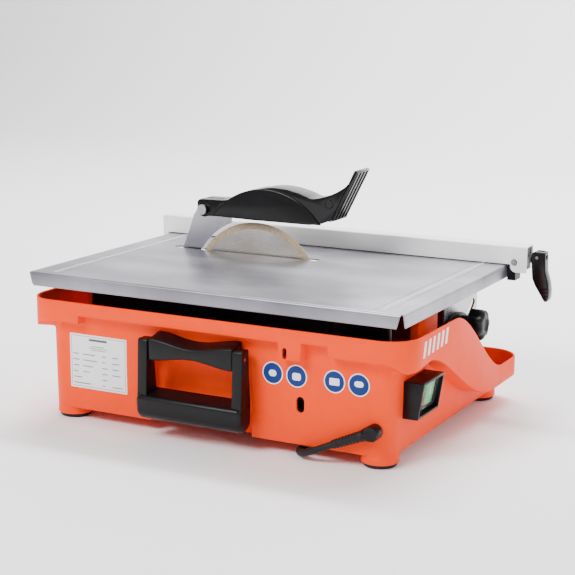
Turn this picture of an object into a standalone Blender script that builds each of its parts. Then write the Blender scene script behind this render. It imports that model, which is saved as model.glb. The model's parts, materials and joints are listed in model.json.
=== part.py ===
"""A small table-top tile cutter: a wet saw with a diamond blade under a table that tilts.

Sizes are in metres. Positions are measured from the table's front left corner on the floor
(x to the right along the cut, y to the rear, z up), and the root empty carries them to the
part's own origin, which is the middle of its footprint on the floor.
"""

import math

import bmesh
import bpy
from mathutils import Matrix, Vector

GAP = 0.0003

# Driving sizes
TABLE_WIDTH = 0.530
TABLE_DEPTH = 0.430
TABLE_TOP = 0.1952
SHEET = 0.002
FLANGE_DROP = 0.0177
BLADE_Y = 0.252
BLADE_X = 0.200
BLADE_Z = 0.139
BLADE_RADIUS = 0.100
PIVOT_Z = 0.1942
HANDLE_FRONT = -0.020
FENCE_LEFT = -0.012
LEVER_RIGHT = 0.588
ORIGIN_X = (FENCE_LEFT + LEVER_RIGHT) / 2
ORIGIN_Y = (HANDLE_FRONT + TABLE_DEPTH) / 2

# Moulded base
BODY = (0.019, 0.511, 0.015, 0.3915)
RIM = (-0.007, 0.537, 0.0, 0.406)
WALL = 0.003
BODY_BOTTOM = 0.015
RIM_TOP = 0.1615
RIM_UNDER = 0.1335
REAR_RIM_TOP = 0.064
REAR_RIM_UNDER = 0.037
CORNER_RADIUS = 0.024
RIM_RADIUS = 0.040
FOOT_PLACES = {"front_left": (0.0433, 0.0392), "front_right": (0.4867, 0.0392),
               "rear_left": (0.0433, 0.3673), "rear_right": (0.4867, 0.3673)}
LEG_RADIUS = 0.0235
FOOT_TOP = 0.0047

# Tilt gear
PLATE_X = 0.4995
PLATE_THICK = 0.003
SLOT_RADIUS = 0.062
STUD_Z = PIVOT_Z - SLOT_RADIUS
STUD_RADIUS = 0.004
KNOB_RADIUS = 0.0215
KNOB_END = 0.537

# Guard and knife
GUARD_PIN = (0.126, 0.255)
GUARD_HALF = 0.020
GUARD_SKIN = 0.0025
KNIFE_ARC = 0.105
KNIFE_BOLT = (0.083, 0.130)

# Fence
FENCE_Y = 0.3443
FENCE_DEEP = 0.0247
FENCE_TOP = 0.2218
FENCE_RIGHT = 0.558
LEVER_PIN = (0.570, 0.2075)
ROD_Y = 0.357

# Switch
SWITCH_Y = (0.050, 0.115)
SWITCH_Z = (0.057, 0.103)

# Carrying handle
HANDLE_X = (0.1775, 0.327)
HANDLE_PIN = (-0.004, 0.118)

# Cord
CORD_RADIUS = 0.00425
COIL_CENTRE = (0.300, 0.478)
COIL_MEAN = 0.050
PLUG_Y = 0.545

COLLECTION = "tile_cutter"
CUTTERS = "tile_cutter_cutters"


def clear_scene():
    for obj in list(bpy.data.objects):
        bpy.data.objects.remove(obj, do_unlink=True)
    for name in (COLLECTION, CUTTERS):
        bpy.context.scene.collection.children.link(bpy.data.collections.new(name))


def material(name, colour, roughness, metallic=0.0):
    made = bpy.data.materials.new(name)
    made.use_nodes = True
    shader = made.node_tree.nodes["Principled BSDF"]
    shader.inputs["Base Color"].default_value = (*colour, 1.0)
    shader.inputs["Roughness"].default_value = roughness
    shader.inputs["Metallic"].default_value = metallic
    return made


def materials():
    return {
        "orange": material("orange_plastic", (0.90, 0.14, 0.02), 0.42),
        "black": material("black_plastic", (0.02, 0.02, 0.022), 0.45),
        "rubber": material("black_rubber", (0.015, 0.015, 0.015), 0.8),
        "zinc": material("zinc_plated_steel", (0.60, 0.60, 0.63), 0.35, 1.0),
        "steel": material("ground_steel", (0.55, 0.54, 0.53), 0.3, 1.0),
        "alloy": material("satin_aluminium", (0.80, 0.81, 0.84), 0.35, 1.0),
        "iron": material("cast_motor_alloy", (0.35, 0.36, 0.37), 0.55, 0.8),
        "copper": material("lacquered_copper", (0.60, 0.25, 0.12), 0.4, 0.8),
        "diamond": material("diamond_rim_blade", (0.50, 0.42, 0.33), 0.5, 0.7),
        "scale": material("printed_scale", (0.85, 0.85, 0.86), 0.5),
        "red": material("red_button", (0.65, 0.02, 0.02), 0.35),
        "green": material("green_button", (0.05, 0.40, 0.16), 0.35),
        "clear": material("clear_boot", (0.85, 0.85, 0.82), 0.3),
        "brass": material("brass_pins", (0.72, 0.58, 0.30), 0.3, 1.0),
    }


def link(obj, parent, cutter=False):
    bpy.data.collections[CUTTERS if cutter else COLLECTION].objects.link(obj)
    obj.parent = parent
    if cutter:
        obj.hide_render = True
        obj.display_type = "WIRE"
    return obj


def from_bmesh(name, shape, parent, mat=None, location=(0, 0, 0), rotation=(0, 0, 0)):
    """A mesh object from a bmesh; with no material it is a cutter."""
    mesh = bpy.data.meshes.new(name)
    bmesh.ops.recalc_face_normals(shape, faces=shape.faces)
    shape.to_mesh(mesh)
    shape.free()
    obj = bpy.data.objects.new(name, mesh)
    link(obj, parent, cutter=mat is None)
    obj.location = location
    obj.rotation_euler = rotation
    if mat is not None:
        mesh.materials.append(mat)
        mesh.shade_smooth()
        mesh.set_sharp_from_angle(angle=math.radians(35))
    return obj


def box(name, low, high, parent, mat=None, centre=(0, 0, 0)):
    """A box between two corners, whose origin is at centre."""
    shape = bmesh.new()
    size = [b - a for a, b in zip(low, high)]
    middle = [(a + b) / 2 - c for a, b, c in zip(low, high, centre)]
    matrix = Matrix.Translation(middle) @ Matrix.Diagonal((*size, 1.0))
    bmesh.ops.create_cube(shape, size=1.0, matrix=matrix)
    return from_bmesh(name, shape, parent, mat, centre)


AXIS_TURN = {"x": Matrix.Rotation(math.pi / 2, 4, "Y"), "y": Matrix.Rotation(-math.pi / 2, 4, "X"),
             "z": Matrix.Identity(4)}


def rod(name, centre, axis, radius, length, parent, mat=None, sides=24, tip_radius=None, turn=None):
    """A cylinder or cone about its own middle; tip_radius is at the axis's far end."""
    shape = bmesh.new()
    matrix = turn if turn is not None else AXIS_TURN[axis]
    bmesh.ops.create_cone(shape, cap_ends=True, segments=sides, radius1=radius,
                          radius2=radius if tip_radius is None else tip_radius,
                          depth=length, matrix=matrix)
    return from_bmesh(name, shape, parent, mat, centre)


PLANES = {"xy": (0, 0, 0), "xz": (math.pi / 2, 0, 0), "yz": (math.pi / 2, 0, math.pi / 2)}


def flat(name, outlines, plane, start, stop, parent, mat=None, centre=(0, 0)):
    """Outlines (the first outside, the rest holes) in a plane, thickened from start to stop."""
    curve = bpy.data.curves.new(name, "CURVE")
    curve.dimensions = "2D"
    curve.fill_mode = "BOTH"
    curve.extrude = (stop - start) / 2
    for outline in outlines:
        spline = curve.splines.new("POLY")
        spline.points.add(len(outline) - 1)
        for point, (u, v) in zip(spline.points, outline):
            point.co = (u - centre[0], v - centre[1], 0.0, 1.0)
        spline.use_cyclic_u = True
    middle = (start + stop) / 2
    place = {"xy": (centre[0], centre[1], middle), "xz": (centre[0], middle, centre[1]),
             "yz": (middle, centre[0], centre[1])}[plane]
    guide = bpy.data.objects.new(name + "_outline", curve)
    link(guide, None, cutter=True)
    graph = bpy.context.evaluated_depsgraph_get()
    mesh = bpy.data.meshes.new_from_object(guide.evaluated_get(graph))
    bpy.data.objects.remove(guide, do_unlink=True)
    shape = bmesh.new()
    shape.from_mesh(mesh)
    bpy.data.meshes.remove(mesh)
    bmesh.ops.remove_doubles(shape, verts=shape.verts, dist=1e-6)
    return from_bmesh(name, shape, parent, mat, place, PLANES[plane])


def turned(name, profile, centre, axis, parent, mat=None, steps=32):
    """A turned shape from a closed profile of (radius, height) points about an axis."""
    mesh = bpy.data.meshes.new(name)
    area = sum(r0 * h1 - r1 * h0 for (r0, h0), (r1, h1) in zip(profile, profile[1:] + profile[:1]))
    points = [(r, 0.0, h) for r, h in (profile if area < 0 else profile[::-1])]
    count = len(points)
    mesh.from_pydata(points, [(i, (i + 1) % count) for i in range(count)], [])
    obj = bpy.data.objects.new(name, mesh)
    link(obj, parent, cutter=mat is None)
    obj.location = centre
    obj.rotation_euler = {"z": (0, 0, 0), "y": (-math.pi / 2, 0, 0), "x": (0, math.pi / 2, 0)}[axis]
    screw = obj.modifiers.new("turn", "SCREW")
    screw.steps = screw.render_steps = steps
    screw.use_merge_vertices = True
    screw.merge_threshold = 0.00001
    screw.use_smooth_shade = True
    if mat is not None:
        mesh.materials.append(mat)
    return obj


def combine(obj, other, operation="DIFFERENCE"):
    """A Boolean with another object, which becomes a hidden helper."""
    joint = obj.modifiers.new(other.name, "BOOLEAN")
    joint.operation = operation
    joint.object = other
    joint.solver = "EXACT"
    if other.name in bpy.data.collections[COLLECTION].objects:
        bpy.data.collections[COLLECTION].objects.unlink(other)
        bpy.data.collections[CUTTERS].objects.link(other)
    other.hide_render = True
    other.display_type = "WIRE"
    return obj


def cut(obj, *others):
    for other in others:
        combine(obj, other)
    return obj


def add(obj, *others):
    for other in others:
        combine(obj, other, "UNION")
    return obj


def arc(centre, radius, start, stop, count):
    """Points on a circle from one angle to another, in degrees."""
    steps = [math.radians(start + (stop - start) * i / count) for i in range(count + 1)]
    return [(centre[0] + radius * math.cos(a), centre[1] + radius * math.sin(a)) for a in steps]


def rounded(left, right, front, back, radius, count=6):
    """A rectangle with round corners, counter-clockwise."""
    corners = [(right - radius, front + radius, -90), (right - radius, back - radius, 0),
               (left + radius, back - radius, 90), (left + radius, front + radius, 180)]
    return [p for x, y, a in corners for p in arc((x, y), radius, a, a + 90, count)]


def stadium(start, stop, centre, half, count=8):
    """A slot along the first axis between two ends, with round ends."""
    return (arc((stop - half, centre), half, -90, 90, count)
            + arc((start + half, centre), half, 90, 270, count))


def smooth_step(t):
    t = min(max(t, 0.0), 1.0)
    return t * t * (3 - 2 * t)


def rim_top(y):
    """Height of the base's upper edge: level in front, then down to the low rear rim."""
    return RIM_TOP - (RIM_TOP - REAR_RIM_TOP) * smooth_step((y - 0.150) / 0.175)


def rim_under(y):
    """Height of the rim band's lower edge, which arches over the switch at the side."""
    if y < 0.020:
        return RIM_UNDER - 0.0125 * smooth_step(y / 0.016)
    if y < 0.072:
        return 0.121 + 0.005 * smooth_step((y - 0.020) / 0.050)
    return 0.126 - (0.126 - REAR_RIM_UNDER) * smooth_step(((y - 0.072) / 0.218) ** 0.85)


def side_profile(lower, upper, front, back, count=26):
    """A closed outline in the y-z plane between two height functions."""
    ys = [front + (back - front) * i / count for i in range(count + 1)]
    return [(y, lower(y)) for y in ys] + [(y, upper(y)) for y in reversed(ys)]


def inset(rectangle, by):
    left, right, front, back = rectangle
    return left + by, right - by, front + by, back - by


def mirrored(x, side):
    return x if side == "right" else TABLE_WIDTH - x


def span(start, stop, side):
    """An x interval on the right side, or its mirror image on the left."""
    return tuple(sorted((mirrored(start, side), mirrored(stop, side))))


def side_box(name, xs, ys, zs, side, parent, mat=None):
    x0, x1 = span(*xs, side)
    return box(name, (x0, ys[0], zs[0]), (x1, ys[1], zs[1]), parent, mat)


def build_base(root, mats):
    """The moulded tub with its rim, legs, posts, handle recess and openings: one piece."""
    plan = rounded(*BODY, CORNER_RADIUS)
    tub = flat("base_tub", [plan], "xy", BODY_BOTTOM, RIM_TOP, root, mats["orange"])
    side_x = (RIM[0] - 0.01, RIM[1] + 0.01)
    band = flat("rim_plan", [rounded(*RIM, RIM_RADIUS)], "xy", 0.020, RIM_TOP, root)
    band_profile = side_profile(rim_under, lambda y: RIM_TOP + 0.01, RIM[2] - 0.001, RIM[3] + 0.001)
    combine(band, flat("rim_band", [band_profile], "yz", *side_x, root), "INTERSECT")
    add(tub, band)
    above = side_profile(rim_top, lambda y: 0.20, 0.140, RIM[3] + 0.010)
    cut(tub, flat("above_rim", [above], "yz", *side_x, root))
    inside = flat("rim_inside_plan", [rounded(*inset(RIM, WALL), RIM_RADIUS - WALL)], "xy",
                  0.020, 0.210, root)
    floor_profile = side_profile(lambda y: rim_under(y) + WALL, lambda y: 0.21,
                                 RIM[2] - 0.001, RIM[3] + 0.001)
    combine(inside, flat("rim_floor", [floor_profile], "yz", *side_x, root), "INTERSECT")
    cut(tub, inside)
    cavity = rounded(*inset(BODY, WALL), CORNER_RADIUS - WALL)
    cut(tub, flat("body_inside", [cavity], "xy", BODY_BOTTOM + WALL, 0.210, root))
    # The front ledge sits higher between the corners.
    add(tub, box("ledge", (0.076, RIM[2] + 0.001, RIM_UNDER), (0.372, BODY[2] + WALL, 0.148), root))
    cut(tub, box("ledge_under", (0.079, -0.005, 0.120), (0.369, BODY[2], 0.145), root))
    for name, (x, y) in FOOT_PLACES.items():
        leg = rod("leg_" + name, (x, y, 0.0125), "z", LEG_RADIUS, 0.0150, root, sides=32)
        add(tub, leg)
    # Finger room behind the handle, open at the bottom.
    add(tub, box("recess_walls", (0.173, 0.0165, BODY_BOTTOM + 0.001), (0.326, 0.036, 0.103), root))
    cut(tub, box("handle_recess", (0.176, 0.010, 0.010), (0.323, 0.033, 0.100), root))
    for side in ("left", "right"):
        post = side_box("post_" + side, (0.4965, 0.509), (0.098, 0.160),
                        (BODY_BOTTOM + 0.001, TABLE_TOP - SHEET - 0.0007), side, root)
        tower = side_box("tower_" + side, (0.474, 0.4975), (BLADE_Y - 0.020, BLADE_Y + 0.020),
                         (BODY_BOTTOM + 0.001, 0.152), side, root)
        add(tub, post, tower)
        cut(tub, rod("stud_hole_" + side, (mirrored(0.4857, side), BLADE_Y, STUD_Z), "x",
                     STUD_RADIUS + GAP, 0.040, root, sides=16))
    cut(tub, box("switch_hole", (0.500, 0.060, 0.066), (0.5205, 0.104, 0.096), root))
    cut(tub, rod("cord_hole", (0.4912, BODY[2], 0.0486), "y", 0.005, 0.020, root, sides=16))
    cut(tub, rod("drain_hole", (0.090, BODY[3], 0.0265), "y", 0.0065, 0.020, root, sides=16))
    upright = [(x, z) for z, x in reversed(stadium(0.057, 0.076, 0.392, 0.0032))]
    cut(tub, flat("wall_slot", [upright], "xz", 0.005, 0.030, root))


def build_feet(root, mats):
    for name, (x, y) in FOOT_PLACES.items():
        profile = [(0.0185, 0.0), (0.0205, 0.0012), (0.0215, FOOT_TOP), (0.006, FOOT_TOP), (0.006, 0.0)]
        turned("foot_" + name, profile, (x, y, 0), "z", root, mats["rubber"], steps=32)


def build_drain_plug(root, mats):
    plug = rod("drain_plug", (0.090, BODY[3] + 0.0038, 0.0265), "y", 0.0095, 0.007, root,
               mats["rubber"], sides=24)
    add(plug, rod("drain_stem", (0.090, BODY[3] - 0.002, 0.0265), "y", 0.0061, 0.010, root, sides=16))


def build_motor(root, mats):
    """The motor lies along y in front of the blade, under a black splash cover."""
    cover = box("motor_cover", (0.066, 0.046, 0.0185), (0.418, 0.232, 0.1870), root, mats["black"])
    bevel = cover.modifiers.new("round", "BEVEL")
    bevel.width = 0.005
    bevel.segments = 2
    cut(cover, box("cover_inside", (0.069, 0.049, 0.010), (0.415, 0.229, 0.1845), root),
        rod("cover_shaft_hole", (BLADE_X, 0.230, BLADE_Z), "y", 0.012, 0.010, root))
    centre = (BLADE_X, 0.0, BLADE_Z)
    fins = 24
    outline = []
    for i in range(fins):
        start = 360 * i / fins
        outline += arc((BLADE_X, BLADE_Z), 0.0450, start, start + 5, 1)
        outline += arc((BLADE_X, BLADE_Z), 0.0415, start + 6, start + 14, 1)
    bore = arc((BLADE_X, BLADE_Z), 0.0385, 0, 345, 23)
    flat("motor_housing", [outline, bore], "xz", 0.078, 0.206, root, mats["iron"],
         (BLADE_X, BLADE_Z))
    stator = arc((BLADE_X, BLADE_Z), 0.0380, 0, 345, 23)
    stator_bore = arc((BLADE_X, BLADE_Z), 0.0225, 0, 345, 23)
    flat("motor_stator", [stator, stator_bore], "xz", 0.100, 0.184, root, mats["copper"],
         (BLADE_X, BLADE_Z))
    cap = [(0.0455, 0.0), (0.0455, 0.0077), (0.0350, 0.0157), (0.0120, 0.0157), (0.0120, 0.0120),
           (0.0163, 0.0120), (0.0163, 0.0)]
    turned("motor_end_cap_rear", cap, (centre[0], 0.2063, centre[2]), "y", root, mats["iron"])
    front = turned("motor_end_cap_front", cap, (centre[0], 0.0777, centre[2]), "y", root,
                   mats["iron"])
    front.rotation_euler = (math.pi / 2, 0, 0)
    bearing = [(0.0160, -0.0045), (0.0160, 0.0045), (0.0083, 0.0045), (0.0083, -0.0045)]
    for name, y in (("bearing_rear", 0.2125), ("bearing_front", 0.0715)):
        turned(name, bearing, (centre[0], y, centre[2]), "y", root, mats["steel"], steps=24)
    cradle = ([(0.140, 0.0186), (0.260, 0.0186), (0.260, 0.118)]
              + arc((BLADE_X, BLADE_Z), 0.0453, -27.6, -152.4, 12) + [(0.140, 0.118)])
    hollow = [(0.145, 0.0240), (0.255, 0.0240), (0.255, 0.0875), (0.145, 0.0875)]
    flat("motor_cradle", [cradle, hollow], "xz", 0.095, 0.190, root, mats["iron"])
    rod("run_capacitor", (0.340, 0.120, 0.0360), "x", 0.0170, 0.060, root, mats["alloy"])


def build_spindle(root, mats):
    """Everything that turns with the blade, each piece with its origin on the blade's axis."""
    axis = bpy.data.objects.new("blade_axis", None)
    link(axis, root)
    axis.location = (BLADE_X, BLADE_Y, BLADE_Z)
    shaft = rod("arbor_shaft", (0, (0.062 + 0.272) / 2 - BLADE_Y, 0), "y", 0.008, 0.210, axis,
                mats["steel"], sides=24)
    add(shaft, rod("rotor_step", (0, 0.142 - BLADE_Y, 0), "y", 0.0218, 0.080, axis, sides=24))
    inner = [(0.030, -0.0110), (0.030, -0.0013), (0.0124, -0.0013), (0.0124, 0.0008),
             (0.0083, 0.0008), (0.0083, -0.0170), (0.0140, -0.0170), (0.0140, -0.0110)]
    turned("inner_flange", inner, (0, 0, 0), "y", axis, mats["zinc"])
    blade = [(0.091, -0.0008), (0.091, -0.0010), (BLADE_RADIUS, -0.0010), (BLADE_RADIUS, 0.0010),
             (0.091, 0.0010), (0.091, 0.0008), (0.0127, 0.0008), (0.0127, -0.0008)]
    turned("diamond_blade", blade, (0, 0, 0), "y", axis, mats["diamond"], steps=96)
    outer = [(0.0300, 0.0013), (0.0300, 0.0035), (0.0260, 0.0065), (0.0083, 0.0065),
             (0.0083, 0.0013)]
    turned("outer_flange", outer, (0, 0, 0), "y", axis, mats["zinc"])
    nut = flat("arbor_nut", [arc((0, 0), 0.0139, 0, 300, 5), arc((0, 0), 0.0083, 0, 345, 23)], "xz",
               0.0068, 0.0160, axis, mats["zinc"])
    nut.location = (0, 0.0114, 0)


def build_knife(root, mats):
    """The riving knife stands behind the blade and carries the guard's pin."""
    blade = (BLADE_X, BLADE_Z)
    back = arc(blade, KNIFE_ARC, 112.0, 199.0, 16)
    outline = [(0.072, 0.105), (*back[-1],)] + back[::-1][1:]
    outline += [(0.1600, 0.2470), (0.1400, 0.2620), (0.1120, 0.2620), (0.0990, 0.2430),
                (0.0920, 0.2220), (0.0850, 0.2040), (0.0790, 0.1900)]
    hole = arc(GUARD_PIN, 0.0033, 0, 330, 11)
    bolt_hole = arc(KNIFE_BOLT, 0.0033, 0, 330, 11)
    flat("riving_knife", [outline, hole, bolt_hole], "xz", BLADE_Y - 0.001,
         BLADE_Y + 0.001, root, mats["zinc"])
    bracket = box("knife_bracket", (0.0665, 0.2325, 0.0186), (0.0930, 0.2505, 0.1520), root,
                  mats["zinc"])
    x, z = KNIFE_BOLT
    cut(bracket, rod("bracket_hole", (x, 0.244, z), "y", 0.0033, 0.020, root, sides=16))
    bolt = rod("knife_bolt", (x, 0.2478, z), "y", 0.0029, 0.0130, root, mats["zinc"], sides=16)
    add(bolt, rod("knife_bolt_head", (x, 0.2558, z), "y", 0.0055, 0.0050, root, sides=6))


def guard_outline(skin):
    """The guard's side view; skin insets the crown for the hollow inside."""
    s = skin
    pin_x, pin_z = GUARD_PIN
    low = -0.002 if s else 0.0
    crown = [(0.1400, 0.2690 - s), (0.1640, 0.2700 - s), (0.1860, 0.2800 - s), (0.2080, 0.2875 - s),
             (0.2330, 0.2920 - s), (0.2560, 0.2910 - s), (0.2770, 0.2865 - s), (0.2930, 0.2810 - s)]
    nose = [(0.3080, 0.2835 - s), (0.3240, 0.2890 - s), (0.3400, 0.2980 - s), (0.3480 - s, 0.3050)]
    bottom = [(0.3240 - s, 0.2540 + low), (0.3080, 0.2480 + low), (0.2900, 0.2450 + low),
              (0.2000, 0.2450 + low), (0.1450, 0.2460 + low)]
    if s:
        return crown + nose[:-1] + [(0.3440, 0.2970)] + bottom
    heel = arc((pin_x, pin_z), 0.0110, -60, -180, 6) + [(pin_x - 0.0110, 0.2660), (0.1190, 0.2690)]
    return crown + nose + bottom + heel


def build_guard(root, mats):
    """A moulded hood hinged on the riving knife; its origin is on the pin."""
    hinge = (GUARD_PIN[0], BLADE_Y, GUARD_PIN[1])
    shell = flat("blade_guard", [list(reversed(guard_outline(0)))], "xz", BLADE_Y - GUARD_HALF,
                 BLADE_Y + GUARD_HALF, root, mats["black"], GUARD_PIN)
    inner_half = GUARD_HALF - GUARD_SKIN
    hollow = flat("guard_hollow", [list(reversed(guard_outline(GUARD_SKIN)))], "xz",
                  BLADE_Y - inner_half, BLADE_Y + inner_half, root)
    heel_slot = box("guard_heel_slot", (0.100, BLADE_Y - inner_half, 0.235),
                    (0.1420, BLADE_Y + inner_half, 0.300), root)
    under = box("guard_open_under", (0.138, BLADE_Y - inner_half, 0.235),
                (0.320, BLADE_Y + inner_half, 0.258), root)
    tab = [(0.3240, 0.2540), (0.3270, 0.2532), (0.3612, 0.3214), (0.3570, 0.3232)]
    lift = flat("guard_lift_plate", [tab], "xz", BLADE_Y - GUARD_HALF - 0.0003,
                BLADE_Y + GUARD_HALF + 0.0003, root)
    pin_hole = rod("guard_pin_hole", hinge, "y", 0.0033, 0.060, root, sides=24)
    cut(shell, hollow, heel_slot, under)
    add(shell, lift)
    cut(shell, pin_hole)
    pin = rod("guard_pin", (hinge[0], BLADE_Y - 0.0010, hinge[2]), "y", 0.0030, 0.0424, root, mats["zinc"],
              sides=24)
    add(pin, rod("guard_pin_head", (hinge[0], BLADE_Y - 0.0225, hinge[2]), "y", 0.0070, 0.0044,
                 root, sides=24))
    nut = rod("guard_nut", (hinge[0], BLADE_Y + 0.0233, hinge[2]), "y", 0.0065, 0.0055, root,
              mats["zinc"], sides=6)
    nut.rotation_euler = (0, math.radians(15), 0)


def build_table(root, mats):
    """The folded sheet table with its blade slot, and what is fixed to it."""
    tilt = bpy.data.objects.new("tilt_axis", None)
    link(tilt, root)
    tilt.location = (0, BLADE_Y, PIVOT_Z)
    local = bpy.data.objects.new("table_frame", None)
    link(local, tilt)
    local.location = (0, -BLADE_Y, -PIVOT_Z)
    slot = stadium(0.068, 0.297, BLADE_Y, 0.007)
    sheet = flat("table_plate", [rounded(0, TABLE_WIDTH, 0, TABLE_DEPTH, 0.004, 3), slot], "xy",
                 TABLE_TOP - SHEET, TABLE_TOP, local, mats["alloy"])
    bottom, inner = TABLE_TOP - FLANGE_DROP, TABLE_TOP - SHEET / 2
    notch = 0.009
    for name, y in (("front", 0.0), ("rear", TABLE_DEPTH - SHEET)):
        outline = [(notch, bottom), (TABLE_WIDTH - notch, bottom),
                   (TABLE_WIDTH - 0.0045, inner), (0.0045, inner)]
        add(sheet, flat("flange_" + name, [outline], "xz", y, y + SHEET, local))
    for name, x in (("left", 0.0), ("right", TABLE_WIDTH - SHEET)):
        outline = [(notch, bottom), (TABLE_DEPTH - notch, bottom),
                   (TABLE_DEPTH - 0.0045, inner), (0.0045, inner)]
        add(sheet, flat("flange_" + name, [outline], "yz", x, x + SHEET, local))
    pivot = (BLADE_Y, PIVOT_Z)
    half_width, reach = 0.058, 0.078
    end = math.degrees(math.acos(half_width / reach))
    plate = ([(BLADE_Y - half_width, TABLE_TOP - SHEET - GAP)] + arc(pivot, reach, -180 + end, -end, 14)
             + [(BLADE_Y + half_width, TABLE_TOP - SHEET - GAP)])
    arc_slot = (arc(pivot, SLOT_RADIUS + 0.0048, -95, -40, 12)
                + arc(pivot, SLOT_RADIUS - 0.0048, -40, -95, 12))
    for side in ("left", "right"):
        x0, x1 = span(PLATE_X, PLATE_X + PLATE_THICK, side)
        bracket = flat("tilt_plate_" + side, [plate, arc_slot], "yz", x0, x1, local, mats["zinc"])
        add(bracket, side_box("plate_foot_" + side, (0.484, PLATE_X + 0.001),
                              (BLADE_Y - 0.050, BLADE_Y + 0.050),
                              (TABLE_TOP - SHEET - GAP - 0.002, TABLE_TOP - SHEET - GAP), side,
                              local))
        side_box("scale_strip_" + side, (0.489, 0.505), (0.012, TABLE_DEPTH - 0.012),
                 (TABLE_TOP + 0.0001, TABLE_TOP + 0.0004), side, local, mats["scale"])
    return local


def build_tilt_clamps(root, mats):
    """On each side: a stud in the tower, a cover shoe, and the star knob that clamps the plate."""
    shoe_centre = (0.228, 0.072)
    for side in ("left", "right"):
        shoe = ([(0.166, 0.0400)] + [(0.290, 0.0400)] + arc(shoe_centre, 0.078, 37, 142, 14))
        x0, x1 = span(0.5032, 0.5062, side)
        hole = arc((BLADE_Y, STUD_Z), STUD_RADIUS + GAP, 0, 330, 11)
        flat("tilt_shoe_" + side, [shoe, hole], "yz", x0, x1, root, mats["black"])
        stud = rod("tilt_stud_" + side, (mirrored(0.5000, side), BLADE_Y, STUD_Z), "x",
                   STUD_RADIUS, 0.060, root, mats["zinc"], sides=16)
        add(stud, side_box("stud_head_" + side, (0.4670, 0.4735), (BLADE_Y - 0.0065, BLADE_Y + 0.0065),
                           (STUD_Z - 0.0065, STUD_Z + 0.0065), side, root))
        lobes, samples = 7, 42
        star = []
        for i in range(samples):
            turn = 2 * math.pi * i / samples
            radius = KNOB_RADIUS - 0.0022 + 0.0022 * math.cos(lobes * turn)
            star.append((BLADE_Y + radius * math.cos(turn), STUD_Z + radius * math.sin(turn)))
        x0, x1 = span(0.5150, KNOB_END, side)
        knob = flat("tilt_knob_" + side, [star], "yz", x0, x1, root, mats["black"],
                    (BLADE_Y, STUD_Z))
        hub = rod("knob_hub_" + side, (mirrored(0.5112, side), BLADE_Y, STUD_Z), "x", 0.0100,
                  0.0090, root, sides=24)
        add(knob, hub)
        cut(knob, rod("knob_bore_" + side, (mirrored(0.5185, side), BLADE_Y, STUD_Z), "x",
                      STUD_RADIUS + GAP, 0.026, root, sides=16))


def build_fence(table, mats):
    """The folded fence slides on the table's side edges and locks with a cam lever."""
    y0, y1 = FENCE_Y, FENCE_Y + FENCE_DEEP
    z0, z1, t = TABLE_TOP + 0.0012, FENCE_TOP, 0.0018
    section = [(y0, z0), (y0 + t, z0), (y0 + t, z1 - t), (y1 - t, z1 - t), (y1 - t, z0),
               (y1, z0), (y1, z1), (y0, z1)]
    beam = flat("fence_beam", [section], "yz", FENCE_LEFT, FENCE_RIGHT, table, mats["alloy"])
    right_tab = ([(0.5575, 0.1860), (0.5575, 0.1985), (0.5350, 0.1985)]
                 + arc((0.5430, 0.1940), 0.0080, 180, 270, 5))
    left_tab = [(-0.0120, 0.1860), (-0.0050, 0.1860), (-0.0030, 0.1985), (-0.0120, 0.1985)]
    for name, outline in (("right", right_tab), ("left", left_tab)):
        add(beam, flat("fence_tab_" + name, [outline], "xz", y0, y0 + t, table))
    cut(beam, rod("fence_screw_hole", (0.5404, FENCE_Y, 0.1995), "y", 0.0024, 0.010, table, sides=12))
    clear0, clear1 = y0 + t + GAP, y1 - t - GAP
    hook = box("fence_hook", (-0.0117, clear0, 0.1750), (-0.0010, clear1, z1 - t - GAP), table,
               mats["zinc"])
    jaw = box("fence_jaw", (TABLE_WIDTH + 0.0008, clear0, 0.1745), (0.5560, clear1, z1 - t - GAP),
              table, mats["black"])
    cut(jaw, box("jaw_relief", (0.5420, clear0 - 0.001, 0.170), (0.560, clear1 + 0.001, 0.1900),
                 table))
    for piece, x, reach in ((hook, -0.0080, 0.020), (jaw, 0.5440, 0.040)):
        cut(piece, rod(piece.name + "_bore", (x, ROD_Y, LEVER_PIN[1]), "x", 0.0032, reach, table,
                       sides=16))
    cut(jaw, rod("jaw_screw_hole", (0.5404, 0.350, 0.1995), "y", 0.0024, 0.020, table, sides=12))
    screw = rod("fence_screw", (0.5404, FENCE_Y - 0.0011, 0.1995), "y", 0.0034, 0.0016, table,
                mats["zinc"], sides=24)
    add(screw, rod("screw_shank", (0.5404, FENCE_Y + 0.0035, 0.1995), "y", 0.0020, 0.0090, table,
                   sides=12))
    tie = rod("fence_rod", (0.2770, ROD_Y, LEVER_PIN[1]), "x", 0.0029, 0.5740, table, mats["zinc"],
              sides=12)
    add(tie, box("rod_eye", (0.5620, ROD_Y - 0.003, 0.2020), (0.5765, ROD_Y + 0.003, 0.2130), table))
    cut(tie, rod("rod_eye_hole", (LEVER_PIN[0], ROD_Y, LEVER_PIN[1]), "y", 0.0023, 0.020, table,
                 sides=12))
    px, pz = LEVER_PIN
    outline = (arc(LEVER_PIN, 0.0087, 180, 75, 6)
               + [(0.5810, 0.2158), (0.5818, 0.1900), (0.5862, 0.1750), (LEVER_RIGHT, 0.1640),
                  (0.5878, 0.1540), (0.5860, 0.1490), (0.5822, 0.1480), (0.5760, 0.1580),
                  (0.5680, 0.1700), (0.5640, 0.1790), (0.5625, 0.1960)])
    lever = flat("fence_lever", [list(reversed(outline))], "xz", ROD_Y - 0.0085, ROD_Y + 0.0085,
                 table, mats["black"], LEVER_PIN)
    cut(lever, rod("lever_fork", (px, ROD_Y, pz), "y", 0.0118, 0.0068, table, sides=24),
        rod("lever_pin_hole", (px, ROD_Y, pz), "y", 0.0023, 0.040, table, sides=12))
    rod("lever_pin", (px, ROD_Y, pz), "y", 0.0020, 0.0176, table, mats["zinc"], sides=12)


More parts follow.
